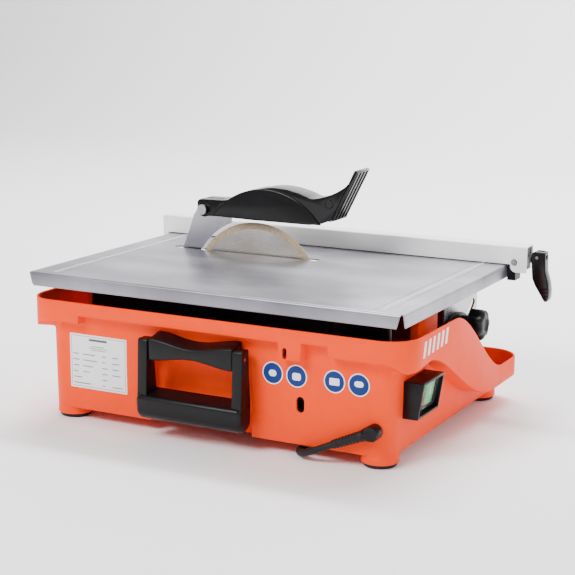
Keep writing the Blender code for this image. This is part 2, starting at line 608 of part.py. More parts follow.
def build_switch(root, mats):
    """A hooded push-button switch with a clear boot in the right side's arch."""
    z0, z1 = SWITCH_Z
    hood = [(BODY[1] + GAP, z0), (0.5295, z0), (0.5370, z1), (BODY[1] + GAP, z1)]
    housing = flat("switch_housing", [hood], "xz", *SWITCH_Y, root, mats["black"])
    y0, y1 = SWITCH_Y[0] + 0.003, SWITCH_Y[1] - 0.003
    cut(housing, box("switch_pocket", (0.5160, y0, z0 + 0.004), (0.560, y1, z1 - 0.004), root),
        box("switch_window", (0.500, 0.060, 0.066), (0.530, 0.104, 0.096), root))
    plate = box("switch_plate", (0.5163, y0 + GAP, z0 + 0.0043), (0.5183, y1 - GAP, z1 - 0.0043),
                root, mats["black"])
    buttons = (("off_button", 0.0610, 0.0805, "red"), ("on_button", 0.0835, 0.1030, "green"))
    for name, front, back, colour in buttons:
        outline = [(0.5110, 0.0672), (0.5235, 0.0672), (0.5290, 0.0948), (0.5110, 0.0948)]
        cut(plate, box(name + "_hole", (0.510, front - GAP, 0.0669), (0.530, back + GAP, 0.0951), root))
        flat(name, [outline], "xz", front, back, root, mats[colour], (0.5110, 0.081))
    boot = flat("switch_boot", [[(0.5186, 0.0640), (0.5268, 0.0640), (0.5330, 0.0980), (0.5186, 0.0980)]],
                "xz", 0.0575, 0.1065, root, mats["clear"])
    skin = 0.0012
    cut(boot, flat("boot_inside", [[(0.510, 0.0640 + skin), (0.5254, 0.0640 + skin),
                                    (0.5314, 0.0980 - skin), (0.510, 0.0980 - skin)]],
                   "xz", 0.0575 + skin, 0.1065 - skin, root))
    box("switch_body", (0.4800, 0.0590, 0.0640), (0.5075, 0.0970, 0.0980), root, mats["black"])


def build_handle(root, mats):
    """The folding carrying handle and the hinge block that it hangs from."""
    x0, x1 = HANDLE_X
    arm = 0.0135
    left, right = x0 + arm + 0.0010, x1 - arm - 0.0010
    middle = (left + right) / 2
    waist, count = 0.0075, 12
    top, low = [], []
    for i in range(count + 1):
        x = left + (right - left) * i / count
        pinch = waist * (1 + math.cos(2 * math.pi * (x - middle) / (right - left))) / 2
        top.append((x, 0.1310 - pinch))
        low.append((x, 0.1030 + pinch * 0.9))
    mount = flat("handle_mount", [low + top[::-1]], "xz", -0.0120, BODY[2] - GAP, root, mats["black"])
    pin_y, pin_z = HANDLE_PIN
    reach = x1 - x0 - 0.002
    cut(mount, rod("mount_pin_hole", ((x0 + x1) / 2, pin_y, pin_z), "x", 0.0029, 0.200, root, sides=16))
    rod("handle_pin", ((x0 + x1) / 2, pin_y, pin_z), "x", 0.0026, reach, root, mats["zinc"], sides=16)
    # Side view of the bail: slim at the pin, deep and round at the grip.
    outline = (arc((pin_y, pin_z), 0.0080, 10, 170, 8) + [(-0.0170, 0.0700), (HANDLE_FRONT, 0.0500)]
               + arc((-0.0060, 0.0400), 0.0140, 180, 270, 5) + arc((-0.0030, 0.0400), 0.0140, 270, 350, 5)
               + [(0.0110, 0.0640)])
    bail = flat("handle_bail", [outline], "yz", x0, x1, root, mats["black"], HANDLE_PIN)
    inner = rounded(x0 + arm, x1 - arm, 0.0600, 0.1800, 0.006, 4)
    cut(bail, flat("bail_opening", [inner], "xz", -0.050, 0.050, root),
        rod("bail_pin_hole", ((x0 + x1) / 2, pin_y, pin_z), "x", 0.0029, 0.200, root, sides=16))


def cord_route():
    """The cord's free run: down the front from the boot, under the base and out at the rear."""
    return [(0.4392, 0.0048, 0.0268), (0.4260, 0.0040, 0.0208), (0.4130, 0.0047, 0.0150),
            (0.4021, 0.0077, 0.0102), (0.3925, 0.0145, 0.0070), (0.3857, 0.0241, 0.0053),
            (0.3825, 0.0340, 0.0047), (0.3780, 0.0560, 0.0046), (0.3695, 0.1000, 0.0046),
            (0.3565, 0.1650, 0.0046), (0.3420, 0.2300, 0.0046), (0.3330, 0.2900, 0.0046),
            (0.3340, 0.3500, 0.0046), (0.3440, 0.3950, 0.0046), (0.3580, 0.4250, 0.0046),
            (0.3640, 0.4420, 0.0046), (0.3655, 0.4560, 0.0046)]


def plug_route():
    """From the coil's outer turn to the plug lying beside it."""
    return [(0.2960, 0.5463, 0.0115), (0.2800, 0.5463, 0.0098), (0.2600, 0.5455, 0.0076),
            (0.2380, 0.5450, 0.0090), (0.2220, 0.5450, 0.0118), (0.2064, 0.5450, 0.0125)]


def smooth(points, spacing):
    """Points at even steps along a Catmull-Rom curve through the given ones."""
    given = [Vector(p) for p in points]
    given = [2 * given[0] - given[1]] + given + [2 * given[-1] - given[-2]]
    fine = []
    for a, b, c, d in zip(given, given[1:], given[2:], given[3:]):
        for i in range(20):
            t = i / 20
            fine.append(0.5 * ((2 * b) + (c - a) * t + (2 * a - 5 * b + 4 * c - d) * t * t
                               + (3 * b - a - 3 * c + d) * t ** 3))
    fine.append(given[-2])
    even, travelled = [fine[0]], 0.0
    for a, b in zip(fine, fine[1:]):
        travelled += (b - a).length
        if travelled >= spacing:
            even.append(b)
            travelled = 0.0
    even[-1] = fine[-1]
    return even


def cord_tube(name, points, radius, parent, mat):
    curve = bpy.data.curves.new(name, "CURVE")
    curve.dimensions = "3D"
    curve.bevel_depth = radius
    curve.bevel_resolution = 2
    curve.use_fill_caps = True
    spline = curve.splines.new("POLY")
    spline.points.add(len(points) - 1)
    for point, co in zip(spline.points, points):
        point.co = (*co, 1.0)
    curve.materials.append(mat)
    obj = bpy.data.objects.new(name, curve)
    return link(obj, parent)


def along(start, stop):
    """A rotation that takes +Z to the direction from start to stop."""
    direction = (Vector(stop) - Vector(start)).normalized()
    return direction.to_track_quat("Z", "Y").to_matrix().to_4x4()


def build_cord(root, mats):
    gland_end, boot_end = Vector((0.4800, 0.0065, 0.0440)), Vector((0.4395, 0.0048, 0.0270))
    turn = along(gland_end, boot_end)
    direction = (boot_end - gland_end).normalized()
    gland = rod("cord_gland", (0.4912, 0.0062, 0.0486), "y", 0.0098, 0.0168, root, mats["black"])
    add(gland, rod("gland_nose", gland_end - direction * 0.0066, "z", 0.0077, 0.0126, root, turn=turn))
    length = (boot_end - gland_end).length
    rod("cord_boot", (gland_end + boot_end) / 2, "z", 0.0068, length - 2 * GAP, root,
        mats["rubber"], sides=16, tip_radius=0.0055, turn=turn)
    cord_tube("power_cord", smooth(cord_route(), 0.016), CORD_RADIUS, root, mats["rubber"])
    x, y = COIL_CENTRE
    ring = [(COIL_MEAN + 0.0130, 0.0040), (COIL_MEAN + 0.0130, 0.0090), (COIL_MEAN + 0.0090, 0.0176),
            (COIL_MEAN - 0.0090, 0.0176), (COIL_MEAN - 0.0130, 0.0090), (COIL_MEAN - 0.0130, 0.0040),
            (COIL_MEAN - 0.0110, 0.0004), (COIL_MEAN + 0.0110, 0.0004)]
    turned("cord_coil", ring, (x, y, 0), "z", root, mats["rubber"], steps=40)
    cord_tube("plug_lead", smooth(plug_route(), 0.008), CORD_RADIUS, root, mats["rubber"])
    body_start, body_end = Vector((0.2056, PLUG_Y, 0.0125)), Vector((0.1580, PLUG_Y, 0.0125))
    turn = along(body_start, body_end)
    rod("plug_body", (body_start + body_end) / 2, "z", 0.0080, 0.0477, root, mats["rubber"],
        sides=16, tip_radius=0.0120, turn=turn)
    face = rod("plug_pins", (0.1570, PLUG_Y, 0.0125), "x", 0.0100, 0.0012, root, mats["brass"])
    for side in (-1, 1):
        add(face, rod(f"pin_{side}", (0.1480, PLUG_Y + side * 0.0057, 0.0125), "x", 0.0024, 0.0190,
                      root, sides=12))


def main():
    clear_scene()
    mats = materials()
    root = bpy.data.objects.new("tile_cutter_root", None)
    link(root, None)
    root.location = (-ORIGIN_X, -ORIGIN_Y, 0)
    build_base(root, mats)
    build_feet(root, mats)
    build_drain_plug(root, mats)
    build_motor(root, mats)
    build_spindle(root, mats)
    build_knife(root, mats)
    build_guard(root, mats)
    table = build_table(root, mats)
    build_tilt_clamps(root, mats)
    build_fence(table, mats)
    build_switch(root, mats)
    build_handle(root, mats)
    build_cord(root, mats)


main()
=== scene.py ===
"""The looks of a small table-top tile cutter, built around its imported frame.

Pieces are made in metres, measured from the table's front left corner on the floor: x to the
right along the cut, y to the rear, z up. CORNER carries them to the frame's own origin.
"""

import json
import math

import bmesh
import bpy
from mathutils import Matrix, Vector


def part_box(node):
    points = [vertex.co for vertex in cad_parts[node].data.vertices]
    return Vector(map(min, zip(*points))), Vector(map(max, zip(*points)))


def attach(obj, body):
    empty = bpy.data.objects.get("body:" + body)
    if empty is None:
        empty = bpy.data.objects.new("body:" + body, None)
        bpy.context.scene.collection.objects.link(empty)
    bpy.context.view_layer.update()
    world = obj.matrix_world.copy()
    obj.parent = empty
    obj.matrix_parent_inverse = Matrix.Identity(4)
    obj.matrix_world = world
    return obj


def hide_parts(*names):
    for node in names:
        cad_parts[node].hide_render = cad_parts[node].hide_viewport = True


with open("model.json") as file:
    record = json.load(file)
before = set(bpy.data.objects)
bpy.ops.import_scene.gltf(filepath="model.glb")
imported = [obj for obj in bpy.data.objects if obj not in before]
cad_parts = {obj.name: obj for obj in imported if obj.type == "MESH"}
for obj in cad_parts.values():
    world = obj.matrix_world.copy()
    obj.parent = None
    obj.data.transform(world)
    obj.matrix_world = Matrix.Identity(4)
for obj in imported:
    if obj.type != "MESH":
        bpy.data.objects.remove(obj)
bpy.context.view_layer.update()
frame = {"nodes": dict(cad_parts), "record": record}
CORNER = Vector((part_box("table_plate")[0].x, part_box("table_plate")[0].y, 0.0))


def extent(node):
    """A CAD node's lowest and highest corners, measured from the table's corner."""
    low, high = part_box(node)
    return Vector(low) - CORNER, Vector(high) - CORNER


# Driving sizes, read from the frame
TABLE_LOW, TABLE_HIGH = extent("table_plate")
TABLE_WIDTH, TABLE_DEPTH, TABLE_TOP = TABLE_HIGH
SHEET = 0.002
BLADE_LOW, BLADE_HIGH = extent("diamond_blade")
BLADE_X = (BLADE_LOW.x + BLADE_HIGH.x) / 2
BLADE_Y = (BLADE_LOW.y + BLADE_HIGH.y) / 2
BLADE_Z = (BLADE_LOW.z + BLADE_HIGH.z) / 2
BLADE_RADIUS = (BLADE_HIGH.x - BLADE_LOW.x) / 2
TILT_Z = 0.1942

# Moulded base: the body's outline and the wider rim's, as left, right, front, rear
BODY = (0.019, 0.511, 0.015, 0.3915)
RIM = (-0.007, 0.537, 0.0, 0.406)
BODY_CORNER, RIM_CORNER = 0.024, 0.04
WALL = 0.003
BODY_BOTTOM = 0.015
RIM_TOP, REAR_RIM_TOP, REAR_RIM_UNDER = 0.1615, 0.064, 0.037
POST_X, TOWER_X, SPLASH_X = (0.4968, 0.5078), (0.4745, 0.497), (0.419, 0.497)
SPLASH_Y = (0.22, 0.223)
FLOOR_TOP, SPLASH_TOP = 0.0205, 0.188
TOWER_HALF = 0.0195
DRAFT = 0.0015
FEET = ("front_left", "front_right", "rear_left", "rear_right")


def link(obj):
    bpy.context.scene.collection.objects.link(obj)


# ---- camera, light and floor

def add_camera():
    """A long lens to the right of the front, a little above the table."""
    place, yaw, pitch, roll = (0.8768, -1.6841, 0.562), 27.9, 11.8, 0.2
    data = bpy.data.cameras.new("studio_camera")
    data.lens = 91.15
    camera = bpy.data.objects.new("studio_camera", data)
    turn = (Matrix.Rotation(math.radians(yaw), 4, "Z")
            @ Matrix.Rotation(math.radians(90 - pitch), 4, "X")
            @ Matrix.Rotation(math.radians(roll), 4, "Z"))
    camera.matrix_world = Matrix.Translation(place) @ turn
    link(camera)
    bpy.context.scene.camera = camera


def add_area_light(name, place, aim, size, power):
    data = bpy.data.lights.new(name, "AREA")
    data.shape = "RECTANGLE"
    data.size, data.size_y = size
    data.energy = power
    light = bpy.data.objects.new(name, data)
    light.location = place
    light.rotation_euler = (Vector(aim) - Vector(place)).to_track_quat("-Z", "Y").to_euler()
    link(light)


def add_studio():
    """A white sweep of paper, a big soft light overhead and two softer ones at the sides."""
    world = bpy.data.worlds.new("studio_world")
    world.use_nodes = True
    world.node_tree.nodes["Background"].inputs["Color"].default_value = (1.0, 1.0, 1.0, 1.0)
    world.node_tree.nodes["Background"].inputs["Strength"].default_value = 0.5
    bpy.context.scene.world = world
    middle = (0.0, 0.0, 0.12)
    for name, place, aim, size, power in (
            ("overhead", (-0.4, 0.9, 2.3), middle, (1.5, 1.0), 42),
            ("front", (-0.8, -2.3, 2.2), middle, (1.2, 1.0), 96),
            ("backdrop", (0.0, 1.5, 3.2), (0.0, 3.2, 0.4), (3.0, 0.8), 250),
            ("right", (2.4, -0.9, 1.4), middle, (0.8, 1.0), 22)):
        add_area_light(name, place, aim, size, power)
    sweep = [(-3.5, 0.0), (2.6, 0.0)]
    sweep += [(2.6 + 0.9 * math.sin(a), 0.9 * (1 - math.cos(a)))
              for a in [math.radians(9 * i) for i in range(1, 11)]]
    sweep += [(3.5, 4.0)]
    shape = bmesh.new()
    rows = [[shape.verts.new((x, y, z - 0.0002)) for y, z in sweep] for x in (-4.5, 4.5)]
    for i in range(len(sweep) - 1):
        shape.faces.new((rows[0][i], rows[1][i], rows[1][i + 1], rows[0][i + 1]))
    mesh = to_mesh(shape, "paper_sweep")
    mesh.shade_smooth()
    paper = bpy.data.objects.new("paper_sweep", mesh)
    paper.data.materials.append(look("paper", (0.96, 0.96, 0.96), 0.9, mottle=0.01, grain=0.02))
    link(paper)


# ---- materials

class Nodes:
    """A material's node tree, with short calls that add and join nodes."""

    def __init__(self, name):
        self.material = bpy.data.materials.new(name)
        self.material.use_nodes = True
        self.tree = self.material.node_tree
        self.shader = self.tree.nodes["Principled BSDF"]

    def plug(self, socket, value):
        """Joins another node's socket to this one, or sets its value."""
        if isinstance(value, bpy.types.NodeSocket):
            self.tree.links.new(value, socket)
        else:
            socket.default_value = value

    def add(self, kind, settings=None, **inputs):
        node = self.tree.nodes.new(kind)
        for key, value in (settings or {}).items():
            setattr(node, key, value)
        for key, value in inputs.items():
            self.plug(node.inputs[key.replace("_", " ")], value)
        return node

    def set(self, **inputs):
        for key, value in inputs.items():
            self.plug(self.shader.inputs[key.replace("_", " ")], value)

    def vector(self, operation, *values):
        node = self.add("ShaderNodeVectorMath", {"operation": operation})
        for socket, value in zip(node.inputs, values):
            self.plug(socket, value)
        return node.outputs

    def place(self, stretch=(1, 1, 1), origin=(0, 0, 0)):
        """Points on the piece in metres, less origin, each axis times its stretch."""
        coordinates = self.add("ShaderNodeTexCoord").outputs["Object"]
        return self.vector("MULTIPLY", self.vector("SUBTRACT", coordinates, origin)[0], stretch)[0]

    def noise(self, vector, scale, detail=3.0):
        return self.add("ShaderNodeTexNoise", Vector=vector, Scale=scale,
                        Detail=detail).outputs["Fac"]

    def spread(self, value, low, high, start=0.3, stop=0.7):
        """Value from start to stop becomes low to high."""
        return self.add("ShaderNodeMapRange", Value=value, From_Min=start, From_Max=stop,
                        To_Min=low, To_Max=high).outputs["Result"]

    def blend(self, factor, first, second, kind="MIX"):
        """From the first colour to the second as factor goes from 0 to 1."""
        mixed = self.add("ShaderNodeMix", {"data_type": "RGBA", "blend_type": kind})
        self.plug(mixed.inputs["Factor"], factor)
        for socket, value in ((mixed.inputs[6], first), (mixed.inputs[7], second)):
            self.plug(socket, (*value, 1.0) if isinstance(value, tuple) else value)
        return mixed.outputs[2]

    def tint(self, colour, amount):
        """The colour times a grey of that amount."""
        return self.blend(1.0, colour, amount, "MULTIPLY")

    def bump(self, height, strength, distance=0.0004):
        return self.add("ShaderNodeBump", Height=height, Strength=strength,
                        Distance=distance).outputs["Normal"]


def look(name, colour, roughness, metallic=0.0, mottle=0.06, mottle_scale=45.0, grain=0.06,
         grain_scale=1400.0, stretch=(1, 1, 1), gloss=0.5, worn=0.07):
    """A moulded, sheet or cast surface: soft mottling, fine grain and uneven gloss."""
    nodes = Nodes(name)
    broad = nodes.noise(nodes.place(stretch), mottle_scale)
    fine = nodes.noise(nodes.place(stretch), grain_scale, 2.0)
    patches = nodes.spread(nodes.noise(nodes.place(), 14.0, 4.0), roughness - worn / 2,
                           roughness + worn)
    nodes.set(Base_Color=nodes.tint(colour, nodes.spread(broad, 1 - mottle, 1.0)),
              Roughness=patches, Metallic=metallic, Specular_IOR_Level=gloss,
              Normal=nodes.bump(fine, grain))
    return nodes.material


def blade_core_look():
    """Steel ground in rings round the arbor."""
    nodes = Nodes("ground_blade")
    spot = nodes.place((1, 0, 1), (BLADE_X, BLADE_Y, BLADE_Z))
    radius = nodes.vector("LENGTH", spot)["Value"]
    rings = nodes.add("ShaderNodeTexNoise", {"noise_dimensions": "1D"}, W=radius,
                      Scale=900.0, Detail=4.0).outputs["Fac"]
    stain = nodes.noise(nodes.place(), 38.0, 5.0)
    colour = nodes.blend(nodes.spread(stain, 0.0, 1.0), (0.62, 0.55, 0.46), (0.74, 0.72, 0.69))
    nodes.set(Base_Color=nodes.tint(colour, nodes.spread(rings, 0.78, 1.0)), Metallic=0.9,
              Roughness=nodes.spread(rings, 0.26, 0.44),
              Normal=nodes.bump(rings, 0.18))
    return nodes.material


def grit_look():
    """A sintered rim: tan bond with pale and dark diamond grit."""
    nodes = Nodes("diamond_grit")
    grains = nodes.noise(nodes.place(), 1500.0, 4.0)
    clumps = nodes.noise(nodes.place(), 260.0, 3.0)
    colour = nodes.blend(nodes.spread(grains, 0.0, 1.0, 0.35, 0.65), (0.4, 0.27, 0.16),
                         (0.8, 0.64, 0.46))
    nodes.set(Base_Color=nodes.tint(colour, nodes.spread(clumps, 0.75, 1.0)), Metallic=0.35,
              Roughness=nodes.spread(grains, 0.42, 0.7), Normal=nodes.bump(grains, 0.7, 0.0006))
    return nodes.material


def galvanised_look(name, pale, dark, roughness, metallic, spangle):
    """Zinc-coated sheet: crystal patches, faint scratches along x and dull spots."""
    nodes = Nodes(name)
    crystals = nodes.add("ShaderNodeTexVoronoi", Vector=nodes.place(), Scale=spangle,
                         Randomness=1.0).outputs["Color"]
    facet = nodes.add("ShaderNodeSeparateColor", Color=crystals).outputs["Red"]
    scratches = nodes.noise(nodes.place((6, 260, 260)), 6.0, 5.0)
    spots = nodes.noise(nodes.place(), 9.0, 5.0)
    sheen = nodes.blend(nodes.spread(spots, 0.0, 1.0, 0.35, 0.7), dark, pale)
    shade = nodes.spread(facet, 0.95, 1.0, 0.0, 1.0)
    nodes.set(Base_Color=nodes.tint(sheen, shade), Metallic=metallic,
              Roughness=nodes.spread(scratches, roughness - 0.07, roughness + 0.09),
              Normal=nodes.bump(scratches, 0.05))
    return nodes.material


def clear_look():
    """Thin clear film with faint scuffs."""
    nodes = Nodes("clear_film")
    scuffs = nodes.noise(nodes.place(), 320.0, 5.0)
    nodes.set(Base_Color=nodes.tint((0.93, 0.96, 0.95), nodes.spread(scuffs, 0.93, 1.0)),
              Roughness=nodes.spread(scuffs, 0.02, 0.06), Transmission_Weight=0.99, IOR=1.1,
              Normal=nodes.bump(scuffs, 0.04))
    return nodes.material


def make_looks():
    """One material for each of the record's slots."""
    return {
        "orange_plastic": look("orange_moulding", (0.98, 0.056, 0.0), 0.44, mottle=0.05,
                               grain=0.05, grain_scale=1100.0, gloss=0.09),
        "black_plastic": look("black_moulding", (0.004, 0.004, 0.005), 0.36, mottle=0.25,
                              grain=0.1, grain_scale=1300.0, gloss=0.22),
        "gloss_black_plastic": look("gloss_black_moulding", (0.004, 0.004, 0.005), 0.2,
                                    mottle=0.2, grain=0.02, grain_scale=800.0, gloss=0.3),
        "black_rubber": look("black_rubber", (0.008, 0.008, 0.009), 0.52, mottle=0.3, grain=0.16,
                             grain_scale=1700.0, gloss=0.3),
        "zinc_steel": look("bright_zinc", (0.46, 0.46, 0.49), 0.27, 1.0, mottle=0.1,
                           mottle_scale=220.0, grain=0.05),
        "ground_steel": look("ground_steel", (0.5, 0.49, 0.47), 0.32, 1.0, mottle=0.35,
                             stretch=(1, 30, 30), mottle_scale=30.0, grain=0.1),
        "galvanised_steel": galvanised_look("satin_galvanised", (0.46, 0.46, 0.5),
                                            (0.34, 0.34, 0.38), 0.33, 0.92, 90.0),
        "fence_aluminium": look("satin_aluminium", (0.98, 0.98, 0.99), 0.36, 0.15, mottle=0.04,
                                stretch=(1, 120, 120), mottle_scale=5.0, grain=0.05,
                                grain_scale=60.0),
        "motor_alloy": look("cast_alloy", (0.33, 0.34, 0.35), 0.55, 0.8, mottle=0.2, grain=0.3,
                            grain_scale=700.0),
        "winding_copper": look("lacquered_copper", (0.62, 0.22, 0.09), 0.35, 0.9, mottle=0.3,
                               stretch=(1, 80, 80), grain=0.3),
        "diamond_steel": blade_core_look(),
        "printed_scale": look("scale_print", (0.88, 0.89, 0.92), 0.4, 0.2, mottle=0.06),
        "red_plastic": look("red_moulding", (0.85, 0.022, 0.02), 0.3, mottle=0.1, grain=0.03),
        "green_plastic": look("green_moulding", (0.05, 0.6, 0.2), 0.3, mottle=0.1, grain=0.03),
        "clear_plastic": clear_look(),
        "brass_pins": look("nickel_pins", (0.7, 0.62, 0.42), 0.25, 1.0, mottle=0.15),
    }


def dress_frame():
    """Gives every CAD node that stays visible the material of its slot."""
    for part in frame["record"]["subparts"]:
        node = frame["nodes"].get(part["node"])
        if node is None:
            continue
        node.data.materials.clear()
        node.data.materials.append(LOOKS[part["material_slot"]])


# ---- shapes

def arc(centre, radius, start, stop, count):
    """Points on a circle from one angle to another, in degrees."""
    steps = [math.radians(start + (stop - start) * i / count) for i in range(count + 1)]
    return [(centre[0] + radius * math.cos(a), centre[1] + radius * math.sin(a)) for a in steps]


def rounded(left, right, low, high, radius, count=6):
    """A rectangle with round corners, counter-clockwise."""
    corners = [(right - radius, low + radius, -90), (right - radius, high - radius, 0),
               (left + radius, high - radius, 90), (left + radius, low + radius, 180)]
    return [p for x, y, a in corners for p in arc((x, y), radius, a, a + 90, count)]


def stadium(start, stop, centre, half, count=8):
    """A slot along the first axis between two ends, with round ends."""
    return (arc((stop - half, centre), half, -90, 90, count)
            + arc((start + half, centre), half, 90, 270, count))


def on_plane(outline, plane, across):
    """Outline points in the named plane, at that distance along the third axis."""
    order = {"xy": (0, 1, 2), "xz": (0, 2, 1), "yz": (2, 0, 1)}[plane]
    return [tuple((u, v, across)[i] for i in order) for u, v in outline]


def loft(*rings):
    """A closed shape through rings that have the same number of points."""
    shape = bmesh.new()
    rows = [[shape.verts.new(p) for p in ring] for ring in rings]
    count = len(rows[0])
    for a, b in zip(rows, rows[1:]):
        for i in range(count):
            j = (i + 1) % count
            shape.faces.new((a[i], a[j], b[j], b[i]))
    shape.faces.new(rows[0][::-1])
    shape.faces.new(rows[-1])
    bmesh.ops.recalc_face_normals(shape, faces=shape.faces)
    return shape


def prism(outline, plane, start, stop):
    return loft(on_plane(outline, plane, start), on_plane(outline, plane, stop))


def block(low, high):
    return prism(rounded(low[0], high[0], low[1], high[1], 0.0004, 1), "xy", low[2], high[2])


def turned(profile, centre, axis, steps=48):
    """A profile of (radius, distance along the axis), turned once round the axis."""
    shape = bmesh.new()
    columns = []
    for i in range(steps):
        angle = 2 * math.pi * i / steps
        column = []
        for radius, along in profile:
            u, v = radius * math.cos(angle), radius * math.sin(angle)
            spot = {"x": (along, u, v), "y": (v, along, u), "z": (u, v, along)}[axis]
            column.append(shape.verts.new(Vector(centre) + Vector(spot)))
        columns.append(column)
    for a, b in zip(columns, columns[1:] + columns[:1]):
        for i in range(len(profile)):
            j = (i + 1) % len(profile)
            shape.faces.new((a[i], b[i], b[j], a[j]))
    bmesh.ops.remove_doubles(shape, verts=shape.verts, dist=1e-6)
    bmesh.ops.dissolve_degenerate(shape, edges=shape.edges, dist=1e-6)
    bmesh.ops.recalc_face_normals(shape, faces=shape.faces)
    return shape


def disc(radius, near, far, centre, axis, steps=48):
    """A cylinder between two distances along the axis."""
    return turned([(0.0, near), (radius, near), (radius, far), (0.0, far)], centre, axis, steps)


def on_side(side, first, second):
    """Two places along x, lowest first: as given on the right, mirrored on the left."""
    if side == "left":
        first, second = TABLE_WIDTH - first, TABLE_WIDTH - second
    return sorted((first, second))


def to_mesh(shape, name):
    """A mesh of that shape, which is freed."""
    mesh = bpy.data.meshes.new(name)
    shape.to_mesh(mesh)
    shape.free()
    return mesh


def scratch_object(shape):
    obj = bpy.data.objects.new("scratch", to_mesh(shape, "scratch"))
    link(obj)
    return obj


def evaluated(obj):
    """The object's mesh after its modifiers, as a shape; the object is removed."""
    bpy.context.view_layer.update()
    graph = bpy.context.evaluated_depsgraph_get()
    shape = bmesh.new()
    shape.from_mesh(obj.evaluated_get(graph).to_mesh())
    bpy.data.objects.remove(obj, do_unlink=True)
    return shape


def boolean(first, second, operation="DIFFERENCE"):
    obj, other = scratch_object(first), scratch_object(second)
    modifier = obj.modifiers.new("boolean", "BOOLEAN")
    modifier.operation = operation
    modifier.solver = "EXACT"
    modifier.object = other
    shape = evaluated(obj)
    bpy.data.objects.remove(other, do_unlink=True)
    return shape


def cut(shape, *others):
    for other in others:
        shape = boolean(shape, other)
    return shape


def union(shape, *others):
    for other in others:
        shape = boolean(shape, other, "UNION")
    return shape


def soften(shape, width, segments=3, limit=38):
    """Rounds every edge that turns by more than limit degrees."""
    obj = scratch_object(shape)
    modifier = obj.modifiers.new("bevel", "BEVEL")
    modifier.width = width
    modifier.segments = segments
    modifier.limit_method = "ANGLE"
    modifier.angle_limit = math.radians(limit)
    modifier.harden_normals = False
    return evaluated(obj)


def together(*shapes):
    """Shapes that touch or stand apart, as one."""
    whole = bmesh.new()
    for shape in shapes:
        mesh = to_mesh(shape, "part")
        whole.from_mesh(mesh)
        bpy.data.meshes.remove(mesh)
    return whole


def moved(shape, matrix):
    bmesh.ops.transform(shape, matrix=matrix, verts=shape.verts)
    return shape


def smooth_step(t):
    t = min(max(t, 0.0), 1.0)
    return t * t * (3 - 2 * t)


def piece(name, shape, slot, body, *stands_for, material=None, angle=32):
    """Makes the shape a piece that rides on a body and stands for CAD nodes."""
    mesh = to_mesh(shape, name)
    mesh.shade_smooth()
    mesh.set_sharp_from_angle(angle=math.radians(angle))
    mesh.materials.append(material or LOOKS[slot])
    obj = bpy.data.objects.new(name, mesh)
    obj.location = CORNER
    link(obj)
    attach(obj, body)
    if stands_for:
        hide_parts(*stands_for)
    return obj


def printed(name, shape, body, material, *stands_for):
    """A thin print or sticker of its own material."""
    return piece(name, shape, "printed_scale", body, *stands_for, material=material)


# ---- cord

CORD_DIAMETER = 0.0085
COIL_CENTRE = (0.3, 0.478)
LOWER_TURNS = (0.0585, 0.05, 0.0415)
UPPER_TURNS = (0.0457, 0.0542)
LAYER_Z = 0.0046
PLUG_LEAD_Z = 0.0115
TURN_STEPS = 40
STEP_TURN = 0.22


def free_route():
    """From the boot down the front, under the base and out behind it."""
    return [(0.4392, 0.0048, 0.0268), (0.426, 0.004, 0.0208), (0.413, 0.0047, 0.015),
            (0.4021, 0.0077, 0.0102), (0.3925, 0.0145, 0.007), (0.3857, 0.0241, 0.0053),
            (0.3825, 0.034, 0.0047), (0.378, 0.056, 0.0046), (0.3695, 0.1, 0.0046),
            (0.3565, 0.165, 0.0046), (0.342, 0.23, 0.0046), (0.333, 0.29, 0.0046),
            (0.334, 0.35, 0.0046), (0.344, 0.395, 0.0046), (0.358, 0.425, 0.0046),
            (0.364, 0.442, 0.0046), (0.3655, 0.456, 0.0046)]


def plug_route():
    """From the coil's outer turn to the plug lying beside it."""
    return [(0.296, 0.5463, 0.0115), (0.28, 0.5463, 0.0098), (0.26, 0.5455, 0.0076),
            (0.238, 0.545, 0.009), (0.222, 0.545, 0.0118), (0.2064, 0.545, 0.0125)]


def lower_radius(turns):
    """The lower layer's radius after that many turns: level, then a step towards the next."""
    stops = LOWER_TURNS + (UPPER_TURNS[0],)
    whole = min(int(turns), len(LOWER_TURNS) - 1)
    step = smooth_step((turns - whole - 1 + STEP_TURN) / STEP_TURN)
    return stops[whole] + (stops[whole + 1] - stops[whole]) * step


def rest_height(radius, turns):
    """How high a second layer's cord lies where it crosses or sits between lower turns."""
    part = turns % 1.0
    below = [lower_radius(i + part) for i in range(len(LOWER_TURNS))]
    rises = [math.sqrt(max(CORD_DIAMETER ** 2 - (radius - r) ** 2, 0.0)) for r in below]
    return LAYER_Z + max(rises)


